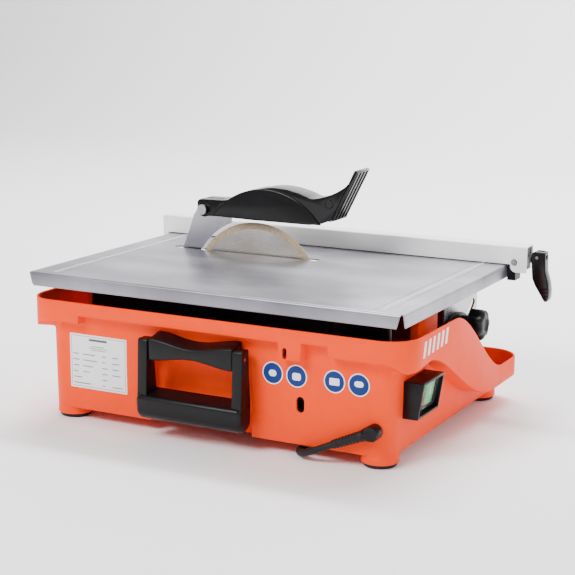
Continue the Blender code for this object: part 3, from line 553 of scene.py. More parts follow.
def coil_points():
    """The coil, wound inwards on the floor and then outwards on top of itself."""
    arrive, leave = math.radians(-12), math.radians(93)
    entry = arrive + 2 * math.pi * STEP_TURN
    wide, last_radius = 0.068, 0.0683
    points = []
    for i in range(10):
        t = i / 10
        radius = wide + (LOWER_TURNS[0] - wide) * smooth_step(t)
        points.append((radius, arrive + (entry - arrive) * t, LAYER_Z))
    level = rest_height(UPPER_TURNS[0], 0.5)
    total = len(LOWER_TURNS)
    for i in range(total * TURN_STEPS):
        turns = i / TURN_STEPS
        climb = smooth_step((turns - total + 0.35) / 0.35)
        points.append((lower_radius(turns), entry + 2 * math.pi * turns,
                       LAYER_Z + (level - LAYER_Z) * climb))
    out = 2.0 - (entry - math.radians(30)) / (2 * math.pi)
    for i in range(int(out * TURN_STEPS)):
        turns = i / TURN_STEPS
        step = smooth_step((turns - 0.6) / STEP_TURN)
        radius = UPPER_TURNS[0] + (UPPER_TURNS[1] - UPPER_TURNS[0]) * step
        points.append((radius, entry + 2 * math.pi * turns, max(level, rest_height(radius, turns))))
    start = points[-1][1] - 4 * math.pi
    for i in range(1, 13):
        t = i / 12
        radius = UPPER_TURNS[1] + (last_radius - UPPER_TURNS[1]) * smooth_step(t)
        angle = start + (leave - start) * t
        z = max(PLUG_LEAD_Z, rest_height(radius, 0.3))
        points.append((radius, angle, z))
    x, y = COIL_CENTRE
    return [(x + r * math.cos(a), y + r * math.sin(a), z) for r, a, z in points]


def smooth(points, spacing):
    """Points at even steps along a Catmull-Rom curve through the given ones."""
    given = [Vector(p) for p in points]
    given = [2 * given[0] - given[1]] + given + [2 * given[-1] - given[-2]]
    fine = []
    for a, b, c, d in zip(given, given[1:], given[2:], given[3:]):
        for i in range(20):
            t = i / 20
            fine.append(0.5 * ((2 * b) + (c - a) * t + (2 * a - 5 * b + 4 * c - d) * t * t
                               + (3 * b - a - 3 * c + d) * t ** 3))
    fine.append(given[-2])
    even, travelled = [fine[0]], 0.0
    for a, b in zip(fine, fine[1:]):
        travelled += (b - a).length
        if travelled >= spacing:
            even.append(b)
            travelled = 0.0
    even[-1] = fine[-1]
    return even


def add_cord():
    """The mains lead in one length: its free run, its coil and the end that the plug is on."""
    coil = coil_points()
    points = smooth(free_route() + coil[::2] + plug_route()[1:], 0.006)
    curve = bpy.data.curves.new("mains_cord", "CURVE")
    curve.dimensions = "3D"
    curve.bevel_depth = CORD_DIAMETER / 2
    curve.bevel_resolution = 5
    curve.use_fill_caps = True
    spline = curve.splines.new("POLY")
    spline.points.add(len(points) - 1)
    for point, co in zip(spline.points, points):
        point.co = (*co, 1.0)
    curve.materials.append(LOOKS["black_rubber"])
    cord = bpy.data.objects.new("mains_cord", curve)
    cord.location = CORNER
    link(cord)
    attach(cord, "base")
    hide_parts("power_cord", "cord_coil", "plug_lead")
    tie = add_cord_tie()
    boot = add_boot()
    plug = add_plug()


def add_cord_tie():
    """A strap round the coil, on the side away from the plug."""
    x, y = COIL_CENTRE
    section = rounded(0.0368, 0.0632, 0.00015, 0.0176, 0.0072, 6)
    inner = rounded(0.0372, 0.0628, 0.0003, 0.0172, 0.0068, 6)
    strap = cut(prism(section, "xz", -0.004, 0.004), prism(inner, "xz", -0.006, 0.006))
    turn = Matrix.Translation((x, y, 0)) @ Matrix.Rotation(math.radians(200), 4, "Z")
    return piece("cord_tie", moved(strap, turn), "black_plastic", "base")


def along(start, stop):
    """A matrix that takes the z axis to the line from start to stop."""
    direction = (Vector(stop) - Vector(start)).normalized()
    turn = direction.to_track_quat("Z", "Y").to_matrix().to_4x4()
    return Matrix.Translation(start) @ turn


def add_boot():
    """The tapered strain relief, with a collar and grip rings, and its gland on the base."""
    start, stop = Vector((0.48, 0.0065, 0.044)), Vector((0.4395, 0.0048, 0.027))
    length = (stop - start).length - 0.0006
    rings = 7
    outer = [(0.0, 0.0003), (0.0066, 0.0003), (0.0068, 0.0012)]
    for i in range(rings):
        near = 0.006 + (length - 0.012) * i / rings
        width = 0.0066 - 0.001 * i / rings
        outer += [(width, near), (width - 0.0006, near + 0.0008), (width - 0.0006, near + 0.0021),
                  (width, near + 0.0029)]
    outer += [(0.0054, length - 0.003), (0.0051, length), (0.0, length)]
    boot = piece("cord_strain_relief", moved(turned(outer, (0, 0, 0), "z"), along(start, stop)),
                 "black_rubber", "base", "cord_boot")
    cap = turned([(0.0, 0.0145), (0.0094, 0.0145), (0.0096, 0.011), (0.0096, 0.001),
                  (0.0086, -0.0012), (0.0, -0.0016)], (0.4912, 0.0, 0.0486), "y")
    nose = turned([(0.0, 0.0), (0.0088, 0.0), (0.0086, 0.008), (0.0076, 0.0122), (0.0, 0.0124)],
                  (0, 0, 0), "z")
    nose = moved(nose, along(start - (stop - start).normalized() * 0.0126, stop))
    piece("cord_gland_cap", union(cap, nose), "black_plastic", "base", "cord_gland")
    return boot


def add_plug():
    """A moulded plug: round grip with flutes, a shoulder, and a flat face."""
    low, high = extent("plug_body")
    x0, x1 = low.x + 0.0003, high.x - 0.0002
    y, z = (low.y + high.y) / 2, (low.z + high.z) / 2
    rings = []
    steps = 40
    profile = [(0.0, 0.0112), (0.0008, 0.0118), (0.012, 0.0117), (0.018, 0.0104),
               (0.026, 0.009), (0.038, 0.0082), (0.0462, 0.0076), (x1 - x0, 0.0066)]
    for distance, radius in profile:
        flute = 0.0007 if 0.015 < distance < 0.04 else 0.0
        ring = []
        for i in range(steps):
            turn = 2 * math.pi * i / steps
            reach = radius - flute * (0.5 + 0.5 * math.cos(8 * turn))
            ring.append((x0 + distance, y + reach * math.cos(turn), z + reach * math.sin(turn)))
        rings.append(ring)
    return piece("mains_plug", loft(*rings), "black_rubber", "base", "plug_body")


# ---- moulded base

def rim_top(y):
    """Height of the base's upper edge: level in front, then down to the low rear rim."""
    return RIM_TOP - (RIM_TOP - REAR_RIM_TOP) * smooth_step((y - 0.15) / 0.175)


def side_under(y):
    """Height of the rim band's lower edge at the sides, where it arches over the switch."""
    if y < 0.02:
        return 0.1335 - 0.0125 * smooth_step(y / 0.016)
    if y < 0.072:
        return 0.121 + 0.005 * smooth_step((y - 0.02) / 0.05)
    return 0.126 - (0.126 - REAR_RIM_UNDER) * smooth_step(((y - 0.072) / 0.218) ** 0.85)


# Along the front, from each x on: the band's lower edge and the fillet under it
FRONT_BAND = ((-1.0, 0.1335, 0.003), (0.078, 0.1438, 0.003), (0.369, 0.1235, 0.006),
              (0.399, 0.146, 0.003), (0.435, 0.133, 0.009))
STEP = 0.0006


def front_under(x):
    """The front band's lower edge and fillet at x: (height, fillet)."""
    return [(under, fillet) for start, under, fillet in FRONT_BAND if x >= start][-1]


def stations():
    """Places round the outline: (corner centre or None, angle or side, coordinate)."""
    front = [0.045 + 0.01 * i for i in range(45)]
    for start, _, _ in FRONT_BAND[1:]:
        front = [x for x in front if abs(x - start) > 0.003] + [start - STEP, start + STEP]
    side = [0.042 + 0.006 * i for i in range(55)]
    places = [("front", x) for x in sorted(front)]
    places += [("corner", (1, 0, a)) for a in range(-90, 1, 9)]
    places += [("right", y) for y in side]
    places += [("corner", (1, 1, a)) for a in range(0, 91, 9)]
    places += [("rear", x) for x in reversed([0.05 + 0.0172 * i for i in range(26)])]
    places += [("corner", (0, 1, a)) for a in range(90, 181, 9)]
    places += [("left", y) for y in reversed(side)]
    places += [("corner", (0, 0, a)) for a in range(180, 271, 9)]
    return places


def spot(place, outset, inset, height):
    """A point of the outline at a place: outset 0 is the body and 1 is the rim."""
    kind, value = place
    left, right, front, rear = [a + (b - a) * outset for a, b in zip(BODY, RIM)]
    radius = BODY_CORNER + (RIM_CORNER - BODY_CORNER) * outset
    taper = DRAFT * max(0.0, 1 - (height - BODY_BOTTOM) / 0.1) * (1 - outset)
    left, right = left + taper, right - taper
    if kind == "front":
        return value, front + inset
    if kind == "rear":
        return value, rear - inset
    if kind == "right":
        return right - inset, value
    if kind == "left":
        return left + inset, value
    to_right, to_rear, angle = value
    x = right - radius if to_right else left + radius
    y = rear - radius if to_rear else front + radius
    reach, turn = max(radius - inset, 0.0005), math.radians(angle)
    return x + reach * math.cos(turn), y + reach * math.sin(turn)


def base_profile(place):
    """The wall's section at a place, from the bottom's edge over the rim to the floor."""
    y = spot(place, 1, 0, 0)[1]
    under, fillet = side_under(y), 0.0035
    if place[0] == "front":
        under, fillet = front_under(place[1])
    elif y < 0.001:
        fillet = 0.008
    top, edge = rim_top(y), 0.0018
    ledge = min(under + WALL, top - 0.006)
    rows = [(0, 0.007, 0.015), (0, 0.004, 0.015), (0, 0.0012, 0.0162), (0, 0.0, 0.019)]
    rows += [(0, 0.0, 0.019 + (under - fillet - 0.019) * part) for part in (0.35, 0.7)]
    for angle in (0, 30, 60, 90):
        turn = math.radians(angle)
        rows.append((0, -fillet * (1 - math.cos(turn)), under - fillet * (1 - math.sin(turn))))
    rows += [(1, edge, under), (1, edge * 0.3, under + edge * 0.3), (1, 0.0, under + edge)]
    rows += [(1, 0.0, top - 0.0014), (1, 0.0004, top - 0.0004), (1, 0.0014, top),
             (1, 0.0022, top - 0.0003), (1, WALL, top - 0.0014)]
    rows += [(1, WALL, ledge + 0.001), (1, WALL + 0.001, ledge), (0, WALL - 0.001, ledge),
             (0, WALL, ledge - 0.001), (0, WALL, 0.021), (0, WALL + 0.003, 0.018)]
    return [(*spot(place, outset, inset, z), z) for outset, inset, z in rows]


def add_tub():
    """The one-piece moulded tub: walls, rim, inner ledge, handle recess and openings."""
    columns = [base_profile(place) for place in stations()]
    rows = list(zip(*columns))
    tub = loft(*rows)
    liner = prism(rounded(0.173, 0.326, 0.016, 0.103, 0.011), "xz", 0.0165, 0.036)
    mouth = [(-0.01, 0.0022), (0.0152, 0.0022), (0.0164, 0.001), (0.0182, 0.0), (0.031, 0.0),
             (0.033, -0.0015)]
    recess = loft(*[on_plane(rounded(0.176 - w, 0.323 + w, 0.0, 0.1 + w, 0.01), "xz", y)
                    for y, w in mouth])
    wall_slot, keyhole = [
        prism([(x, z) for z, x in stadium(low, high, x, half)], "xz", front, back)
        for low, high, x, half, front, back in ((0.0565, 0.0765, 0.3915, 0.0054, 0.005, 0.03),
                                                (0.1245, 0.1385, 0.3775, 0.003, -0.01, 0.02))]
    switch_hole = block((0.5, 0.06, 0.066), (0.5205, 0.104, 0.096))
    tub = cut(union(tub, liner), recess, wall_slot, keyhole, switch_hole)
    piece("tub_moulding", tub, "orange_plastic", "base", "base_tub", angle=28)


def add_base_parts():
    """Legs with rubber feet, table posts, splash walls and clamp towers."""
    for name in FEET:
        low, high = extent("foot_" + name)
        centre = ((low.x + high.x) / 2, (low.y + high.y) / 2, 0)
        leg = turned([(0.0, 0.005), (0.0225, 0.005), (0.0234, 0.0058), (0.0232, 0.013),
                      (0.0224, 0.022), (0.0, 0.022)], centre, "z", 64)
        piece("leg_" + name, leg, "orange_plastic", "base")
        foot = turned([(0.0, 0.0001), (0.018, 0.0001), (0.02, 0.0008), (0.0211, 0.0026),
                       (0.0213, 0.0046), (0.006, 0.0046), (0.0055, 0.002), (0.0, 0.002)],
                      centre, "z", 64)
        piece("rubber_foot_" + name, foot, "black_rubber", "base", "foot_" + name)
    # Painted shade: the splash walls get a darker orange than the tub, standing in for the shadow
    # that falls behind the front gap under the table
    painted_shade_orange = look("painted_shade_orange_moulding", (0.42, 0.02, 0.0), 0.5, mottle=0.2, gloss=0.1)
    for side in ("left", "right"):
        x0, x1 = on_side(side, *POST_X)
        post = [(0.0985, 0.02), (0.1595, 0.02), (0.1595, 0.187), (0.156, 0.192),
                (0.102, 0.192), (0.0985, 0.187)]
        piece("table_post_" + side, soften(prism(post, "yz", x0, x1), 0.0012), "orange_plastic",
              "base")
        x0, x1 = on_side(side, *SPLASH_X)
        wall = soften(block((x0, SPLASH_Y[0], FLOOR_TOP), (x1, SPLASH_Y[1], SPLASH_TOP)), 0.0004, 1)
        piece("splash_wall_" + side, wall, "orange_plastic", "base", material=painted_shade_orange)
        x0, x1 = on_side(side, *TOWER_X)
        tower = [(BLADE_Y - TOWER_HALF, 0.02), (BLADE_Y + TOWER_HALF, 0.02),
                 (BLADE_Y + TOWER_HALF, 0.143), (BLADE_Y + 0.012, 0.1515),
                 (BLADE_Y - 0.012, 0.1515), (BLADE_Y - TOWER_HALF, 0.143)]
        piece("clamp_tower_" + side, soften(prism(tower, "yz", x0, x1), 0.0012), "orange_plastic",
              "base")


# ---- signs

def add_label():
    """A plain rating plate: white, a fine frame, and rows of grey bars for its print."""
    x0, x1, z0, z1 = 0.054, 0.142, 0.045, 0.117
    front = BODY[2] - 0.0003
    white = look("label_film", (0.86, 0.86, 0.88), 0.38, mottle=0.03, grain=0.02)
    ink = look("label_ink", (0.1, 0.1, 0.12), 0.5, mottle=0.4, mottle_scale=400.0, grain=0.02)
    film = prism(rounded(x0, x1, z0, z1, 0.0012, 4), "xz", front, BODY[2] + 0.0006)
    printed("rating_label", film, "base", white)
    frame_out = rounded(x0 + 0.0022, x1 - 0.0022, z0 + 0.0022, z1 - 0.0022, 0.0006, 2)
    frame_in = rounded(x0 + 0.0027, x1 - 0.0027, z0 + 0.0027, z1 - 0.0027, 0.0005, 2)
    lines = cut(prism(frame_out, "xz", front - 0.0001, front + 0.0002),
                prism(frame_in, "xz", front - 0.001, front + 0.001))
    bars = [(0.084, 0.112, 0.109, 0.003), (0.088, 0.108, 0.102, 0.0008),
            (0.084, 0.112, 0.0995, 0.0008), (0.087, 0.109, 0.097, 0.0008)]
    lengths = ((0.008, 0.019, 0.006, 0.009), (0.01, 0.022, 0.005, 0.011),
               (0.009, 0.016, 0.009, 0.01), (0.007, 0.01, 0.008, 0.013),
               (0.013, 0.0, 0.007, 0.0), (0.018, 0.012, 0.004, 0.016))
    for row, (first, second, third, fourth) in enumerate(lengths):
        z = 0.09 - 0.0078 * row
        for start, long in ((0.059, first), (0.074, second), (0.104, third), (0.1195, fourth)):
            if long:
                bars.append((start, start + long, z, 0.0011))
    shapes = [prism(rounded(a, b, z, z + tall, 0.0003, 1), "xz", front - 0.0001, front + 0.0002)
              for a, b, z, tall in bars]
    piece("label_print", together(lines, *shapes), "black_plastic", "base", material=ink)


def add_sign_discs():
    """Four round blue stickers with a white edge and a plain white mark."""
    white = look("sticker_white", (0.88, 0.88, 0.9), 0.36, mottle=0.03, grain=0.02)
    blue = look("sticker_blue", (0.002, 0.024, 0.17), 0.38, mottle=0.08, grain=0.02, gloss=0.25)
    marks = (stadium(-0.0052, 0.0052, 0.0, 0.004),
             rounded(-0.0058, 0.0058, -0.0052, 0.004, 0.003),
             rounded(-0.0066, 0.0066, -0.0045, 0.0042, 0.0016),
             stadium(-0.006, 0.006, 0.001, 0.0036))
    for i, x in enumerate((0.354, 0.3865, 0.437, 0.469)):
        centre = (x, BODY[2], 0.1015)
        edge = disc(0.014, -0.0002, 0.0008, centre, "y", 64)
        face = disc(0.0127, -0.0003, 0.0004, centre, "y", 64)
        printed(f"sticker_edge_{i}", edge, "base", white)
        printed(f"sticker_face_{i}", face, "base", blue)
        outline = [(x + u, centre[2] + v) for u, v in marks[i]]
        mark = prism(outline, "xz", BODY[2] - 0.0004, BODY[2] + 0.0002)
        printed(f"sticker_mark_{i}", mark, "base", white)


def add_side_stripes():
    """Slanted white flashes on the rim's right side, as plain trim."""
    white = look("trim_white", (0.88, 0.87, 0.86), 0.38, mottle=0.03, grain=0.02)
    face = RIM[1]
    flashes = []
    for i in range(6):
        y = 0.044 + 0.0135 * i
        z = 0.135 + 0.0006 * i
        outline = [(y, z), (y + 0.0062, z), (y + 0.0112, z + 0.019), (y + 0.005, z + 0.019)]
        flashes.append(prism(outline, "yz", face - 0.0008, face + 0.0002))
    printed("side_trim", together(*flashes), "base", white)


# ---- table and fence

def add_table():
    """A folded sheet: a flat top with the blade's slot, and four turned-down edges."""
    low, top = TABLE_LOW.z, TABLE_TOP
    fold = 0.0034
    count = 6
    outer = arc((fold, top - fold), fold, 90, 180, count)
    inner = arc((fold, top - fold), fold - SHEET, 90, 180, count)
    hem = [(0.0, low + 0.0008), (0.0006, low), (SHEET - 0.0006, low), (SHEET, low + 0.0008)]
    section = outer + hem + inner[::-1]

    def edge(length, flip):
        """A folded edge along x whose ends slope away from the corners."""
        rings = []
        for end in (0, 1):
            ring = []
            for reach, z in section:
                back = fold + 0.0056 * (top - z) / (top - low)
                ring.append((back if end == 0 else length - back, reach, z))
            rings.append(ring)
        return moved(loft(*rings), flip)

    turn = Matrix.Rotation(math.radians(90), 4, "Z")
    edges = [
        edge(TABLE_WIDTH, Matrix.Identity(4)),
        edge(TABLE_WIDTH, Matrix.Translation((TABLE_WIDTH, TABLE_DEPTH, 0))
             @ Matrix.Rotation(math.pi, 4, "Z")),
        edge(TABLE_DEPTH, Matrix.Translation((TABLE_WIDTH, 0, 0)) @ turn),
        edge(TABLE_DEPTH, Matrix.Translation((0, TABLE_DEPTH, 0)) @ turn.inverted()),
    ]
    plan = rounded(fold, TABLE_WIDTH - fold, fold, TABLE_DEPTH - fold, 0.0003, 1)
    plate = prism(plan, "xy", top - SHEET, top)
    slot = prism(stadium(0.068, 0.297, BLADE_Y, 0.007, 12), "xy", top - 0.01, top + 0.01)
    for shape in edges:
        bmesh.ops.recalc_face_normals(shape, faces=shape.faces)
    piece("table_top", together(cut(plate, slot), *edges), "galvanised_steel", "table",
          "table_plate", material=table_look())
    add_scales()


def table_look():
    """Satin zinc sheet, rolled along its length, with water marks that dried on it."""
    nodes = Nodes("rolled_table_sheet")
    rolled = nodes.noise(nodes.place((3, 240, 240)), 5.0, 6.0)
    marks = nodes.noise(nodes.place((1, 1.8, 1)), 7.0, 6.0)
    fine = nodes.noise(nodes.place(), 900.0, 2.0)
    colour = nodes.blend(nodes.spread(marks, 0.0, 1.0, 0.35, 0.68), (0.22, 0.215, 0.25),
                         (0.4, 0.395, 0.435))
    nodes.set(Base_Color=nodes.tint(colour, nodes.spread(rolled, 0.955, 1.0)), Metallic=0.85,
              Roughness=nodes.spread(marks, 0.3, 0.4), Normal=nodes.bump(fine, 0.03))
    return nodes.material


def add_scales():
    """The printed rules along both sides: two fine lines with marks every 5 mm."""
    low, high = extent("scale_strip_right")
    white = look("rule_print", (0.92, 0.92, 0.95), 0.5, 0.0, mottle=0.04)
    middle = (low.x + high.x) / 2
    z0, z1 = TABLE_TOP, high.z - 0.0001
    for side in ("left", "right"):
        shapes = []
        for x in (low.x + 0.0004, high.x - 0.0008):
            a, b = on_side(side, x, x + 0.0005)
            shapes.append(block((a, low.y, z0), (b, high.y, z1)))
        steps = int((high.y - low.y) / 0.005)
        for i in range(steps):
            y = low.y + 0.004 + 0.005 * i
            reach = 0.006 if i % 10 == 0 else (0.0046 if i % 2 == 0 else 0.003)
            a, b = on_side(side, middle - reach / 2, middle + reach / 2 + 0.0008)
            if y + 0.0009 < high.y:
                shapes.append(block((a, y, z0), (b, y + 0.0016, z1)))
        printed("rule_" + side, together(*shapes), "table", white, "scale_strip_" + side)


def add_fence():
    """A folded aluminium channel with a tab at each end."""
    low, high = extent("fence_beam")
    y0, y1, z1 = low.y, high.y, high.z
    z0, t, bend = TABLE_TOP + 0.0012, 0.0018, 0.0026
    section = ([(y0, z0)] + arc((y0 + bend, z1 - bend), bend, 180, 90, 5)
               + arc((y1 - bend, z1 - bend), bend, 90, 0, 5) + [(y1, z0), (y1 - t, z0)]
               + arc((y1 - bend, z1 - bend), bend - t, 0, 90, 3)
               + arc((y0 + bend, z1 - bend), bend - t, 90, 180, 3) + [(y0 + t, z0)])
    beam = prism(section, "yz", low.x, high.x)
    right_tab = ([(0.5575, 0.186), (0.5575, 0.1995), (0.535, 0.1995)]
                 + arc((0.543, 0.194), 0.008, 180, 270, 8))
    left_tab = [(low.x, 0.186), (-0.005, 0.186), (-0.003, 0.1985), (low.x, 0.1985)]
    tabs = [prism(outline, "xz", y0, y0 + t) for outline in (right_tab, left_tab)]
    groove = block((low.x - 0.01, y0 - 0.002, z1 - 0.004),
                   (high.x + 0.01, y0 + 0.0003, z1 - 0.0034))
    beam = soften(cut(union(beam, *tabs), groove), 0.0003, 1, 60)
    piece("fence_channel", beam, "fence_aluminium", "fence", "fence_beam")
    low, high = extent("fence_screw")
    x, z = (low.x + high.x) / 2, (low.z + high.z) / 2
    washer = turned([(0.0042, -0.0004), (0.0042, 0.0001), (0.0024, 0.0001), (0.0024, -0.0004)],
                    (x, y0 - 0.0001, z), "y")
    piece("fence_screw_washer", washer, "black_rubber", "fence")


def add_lever():
    """The cam lever that locks the fence: a round head and a curved paddle with a thumb ridge."""
    (_, low, _), (_, high, _) = extent("fence_lever")
    x, z = 0.57, 0.2075
    paddle = [(0.581, 0.215), (0.5818, 0.19), (0.5862, 0.175), (0.5879, 0.164),
              (0.5877, 0.1545), (0.5858, 0.1492), (0.5822, 0.1482), (0.576, 0.158),
              (0.5682, 0.17), (0.5642, 0.179), (0.5627, 0.196)]
    outline = arc((x, z), 0.0085, 180, 75, 8) + paddle
    lever = soften(prism(outline, "xz", low + 0.0001, high - 0.0001), 0.0022, 3, 30)
    fork = disc(0.0116, low + 0.0051, high - 0.0051, (x, 0, z), "y")
    pin_hole = disc(0.0022, low - 0.01, high + 0.01, (x, 0, z), "y", 20)
    grooves = [block((0.56, low - 0.002, 0.156 + 0.005 * i), (0.595, low + 0.0006,
                                                                  0.1576 + 0.005 * i))
               for i in range(3)]
    piece("cam_paddle", cut(lever, fork, pin_hole, *grooves), "gloss_black_plastic", "cam_lever",
          "fence_lever")


# ---- blade and guard

def add_blade():
    """The disc: a ground steel core and a continuous grit rim."""
    y0, y1 = BLADE_LOW.y, BLADE_HIGH.y
    rim = 0.009
    core_in, core_out = 0.0127, BLADE_RADIUS - rim + 0.0004
    inset = (y1 - y0) * 0.12
    centre = (BLADE_X, 0, BLADE_Z)
    core = [(core_in, y0 + inset), (core_out, y0 + inset), (core_out, y1 - inset),
            (core_in, y1 - inset)]
    piece("blade_core", turned(core, centre, "y", 120), "diamond_steel", "spindle",
          "diamond_blade")
    edge = BLADE_RADIUS
    grit = [(edge - rim, y0 + 0.00005), (edge - 0.0004, y0 + 0.00005), (edge, y0 + 0.0004),
            (edge, y1 - 0.0004), (edge - 0.0004, y1 - 0.00005), (edge - rim, y1 - 0.00005)]
    piece("blade_rim", turned(grit, centre, "y", 160), "diamond_steel", "spindle",
          material=grit_look())


def crown(shift=0.0):
    """The guard's upper edge, from the heel to the nose, raised by shift."""
    line = [(0.119, 0.2685), (0.14, 0.269), (0.164, 0.2705), (0.186, 0.28),
            (0.208, 0.2875), (0.233, 0.2918), (0.256, 0.2908), (0.277, 0.2865),
            (0.293, 0.2812), (0.308, 0.2837), (0.324, 0.2892), (0.34, 0.2982),
            (0.3475, 0.305)]
    given = [Vector((x, 0, z + shift)) for x, z in line]
    return [(p.x, p.z) for p in smooth(given, 0.004)]


def add_guard():
    """The hinged hood: a glossy shell with a raised arc on each face and a lift plate."""
    half = 0.02
    skin = 0.0022
    pin_x, pin_z = 0.126, 0.255
    bottom = [(0.3236, 0.2545), (0.308, 0.2484), (0.29, 0.2454), (0.2, 0.2452),
              (0.145, 0.2462)]
    heel = arc((pin_x, pin_z), 0.0108, -60, -180, 8) + [(pin_x - 0.0108, 0.2655)]
    outline = crown() + bottom + heel
    body_half = half - 0.002
    hood = soften(prism(outline, "xz", BLADE_Y - body_half, BLADE_Y + body_half), 0.0016, 3, 40)
    centre, radius, chord = (0.2235, 0.1862), 0.103, 0.2456
    reach = math.degrees(math.asin((chord - centre[1]) / radius))
    raised = arc(centre, radius, reach + 0.5, 179.5 - reach, 36)
    pad_half = half - 0.0001
    pad = prism(raised, "xz", BLADE_Y - pad_half, BLADE_Y + pad_half)
    pad = soften(pad, 0.0017, 4, 25)
    boss = turned([(0.0, -half + 0.0008), (0.0058, -half + 0.0008), (0.0064, -half + 0.0016),
                   (0.0064, half - 0.0016), (0.0058, half - 0.0008), (0.0, half - 0.0008)],
                  (0.319, BLADE_Y, 0.2755), "y", 48)
    dimple = disc(0.0046, -half - 0.002, -half + 0.0014, (0.319, BLADE_Y, 0.2755), "y")
    tab = [(0.324, 0.254), (0.327, 0.2533), (0.3611, 0.3213), (0.357, 0.3231)]
    lift = soften(prism(tab, "xz", BLADE_Y - half, BLADE_Y + half), 0.0007, 2)
    ribs = [prism([(0.3272, 0.256), (0.329, 0.255), (0.3608, 0.3185), (0.359, 0.32)], "xz",
                  BLADE_Y + across - 0.0008, BLADE_Y + across + 0.0008)
            for across in (-0.015, -0.005, 0.005, 0.015)]
    outside = union(hood, pad, boss, lift, *ribs)
    inner_half = half - 0.0045
    hollow = [(x, z) for x, z in crown(-skin) if 0.14 < x < 0.34]
    hollow += [(0.318, 0.253), (0.315, 0.24), (0.142, 0.24)]
    inside = prism(hollow, "xz", BLADE_Y - inner_half, BLADE_Y + inner_half)
    heel_slot = block((0.1, BLADE_Y - 0.0027, 0.235), (0.148, BLADE_Y + 0.0027, 0.3))
    pin_hole = disc(0.0033, -0.03, 0.03, (pin_x, BLADE_Y, pin_z), "y", 24)
    guard = cut(outside, dimple, inside, heel_slot, pin_hole)
    piece("guard_hood", guard, "gloss_black_plastic", "guard", "blade_guard", angle=30)


# ---- tilt clamps

def add_tilt_knobs():
    """The star knobs, and degree marks on the shoes behind them."""
    pale = look("degree_print", (0.8, 0.8, 0.82), 0.4, 0.2, mottle=0.06)
    for side in ("left", "right"):
        low, high = extent("tilt_knob_" + side)
        y, z = (low.y + high.y) / 2, (low.z + high.z) / 2
        outward = 1 if side == "right" else -1
        inner, outer = (low.x, high.x) if side == "right" else (high.x, low.x)
        radius, lobes, steps = 0.0214, 7, 98
        profile = [(0.0, 0.0096, 0.0), (0.008, 0.0098, 0.0), (0.0086, 0.015, 0.0012),
                   (0.0098, 0.0194, 0.003), (0.013, 0.0212, 0.004), (0.021, 0.021, 0.004),
                   (0.0258, 0.02, 0.0034), (0.0284, 0.0176, 0.0024), (0.0296, 0.014, 0.001),
                   (0.0298, 0.009, 0.0), (0.029, 0.0078, 0.0), (0.0282, 0.006, 0.0)]
        deep = abs(outer - inner) - 0.0002
        rings = []
        for along_x, reach, wave in profile:
            ring = []
            for i in range(steps):
                turn = 2 * math.pi * i / steps
                r = min(reach, radius) - wave * (0.5 - 0.5 * math.cos(lobes * turn))
                x = inner + outward * deep * along_x / profile[-3][0]
                ring.append((x, y + r * math.cos(turn), z + r * math.sin(turn)))
            rings.append(ring)
        piece("star_knob_" + side, loft(*rings), "black_plastic", side + "_knob",
              "tilt_knob_" + side, angle=40)
        add_degree_marks(side, outward, pale)


def add_degree_marks(side, outward, material):
    """Ten short lines round the tilt axis, printed on the clamp's shoe."""
    low, high = extent("tilt_shoe_" + side)
    face = high.x if side == "right" else low.x
    near, far = sorted((face, face - outward * 0.0003))
    radius, half_width = 0.052, 0.0004
    marks = []
    for i in range(10):
        angle = math.radians(-64 - 5.2 * i)
        reach = radius + (0.007 if i % 3 == 0 else 0.0045)
        y, z = math.cos(angle), math.sin(angle)
        outline = [(BLADE_Y + r * y - across * z, TILT_Z + r * z + across * y)
                   for r, across in ((radius, -half_width), (reach, -half_width),
                                     (reach, half_width), (radius, half_width))]
        marks.append(prism(outline, "yz", near, far))
    printed("degree_marks_" + side, together(*marks), "base", material)


# ---- switch

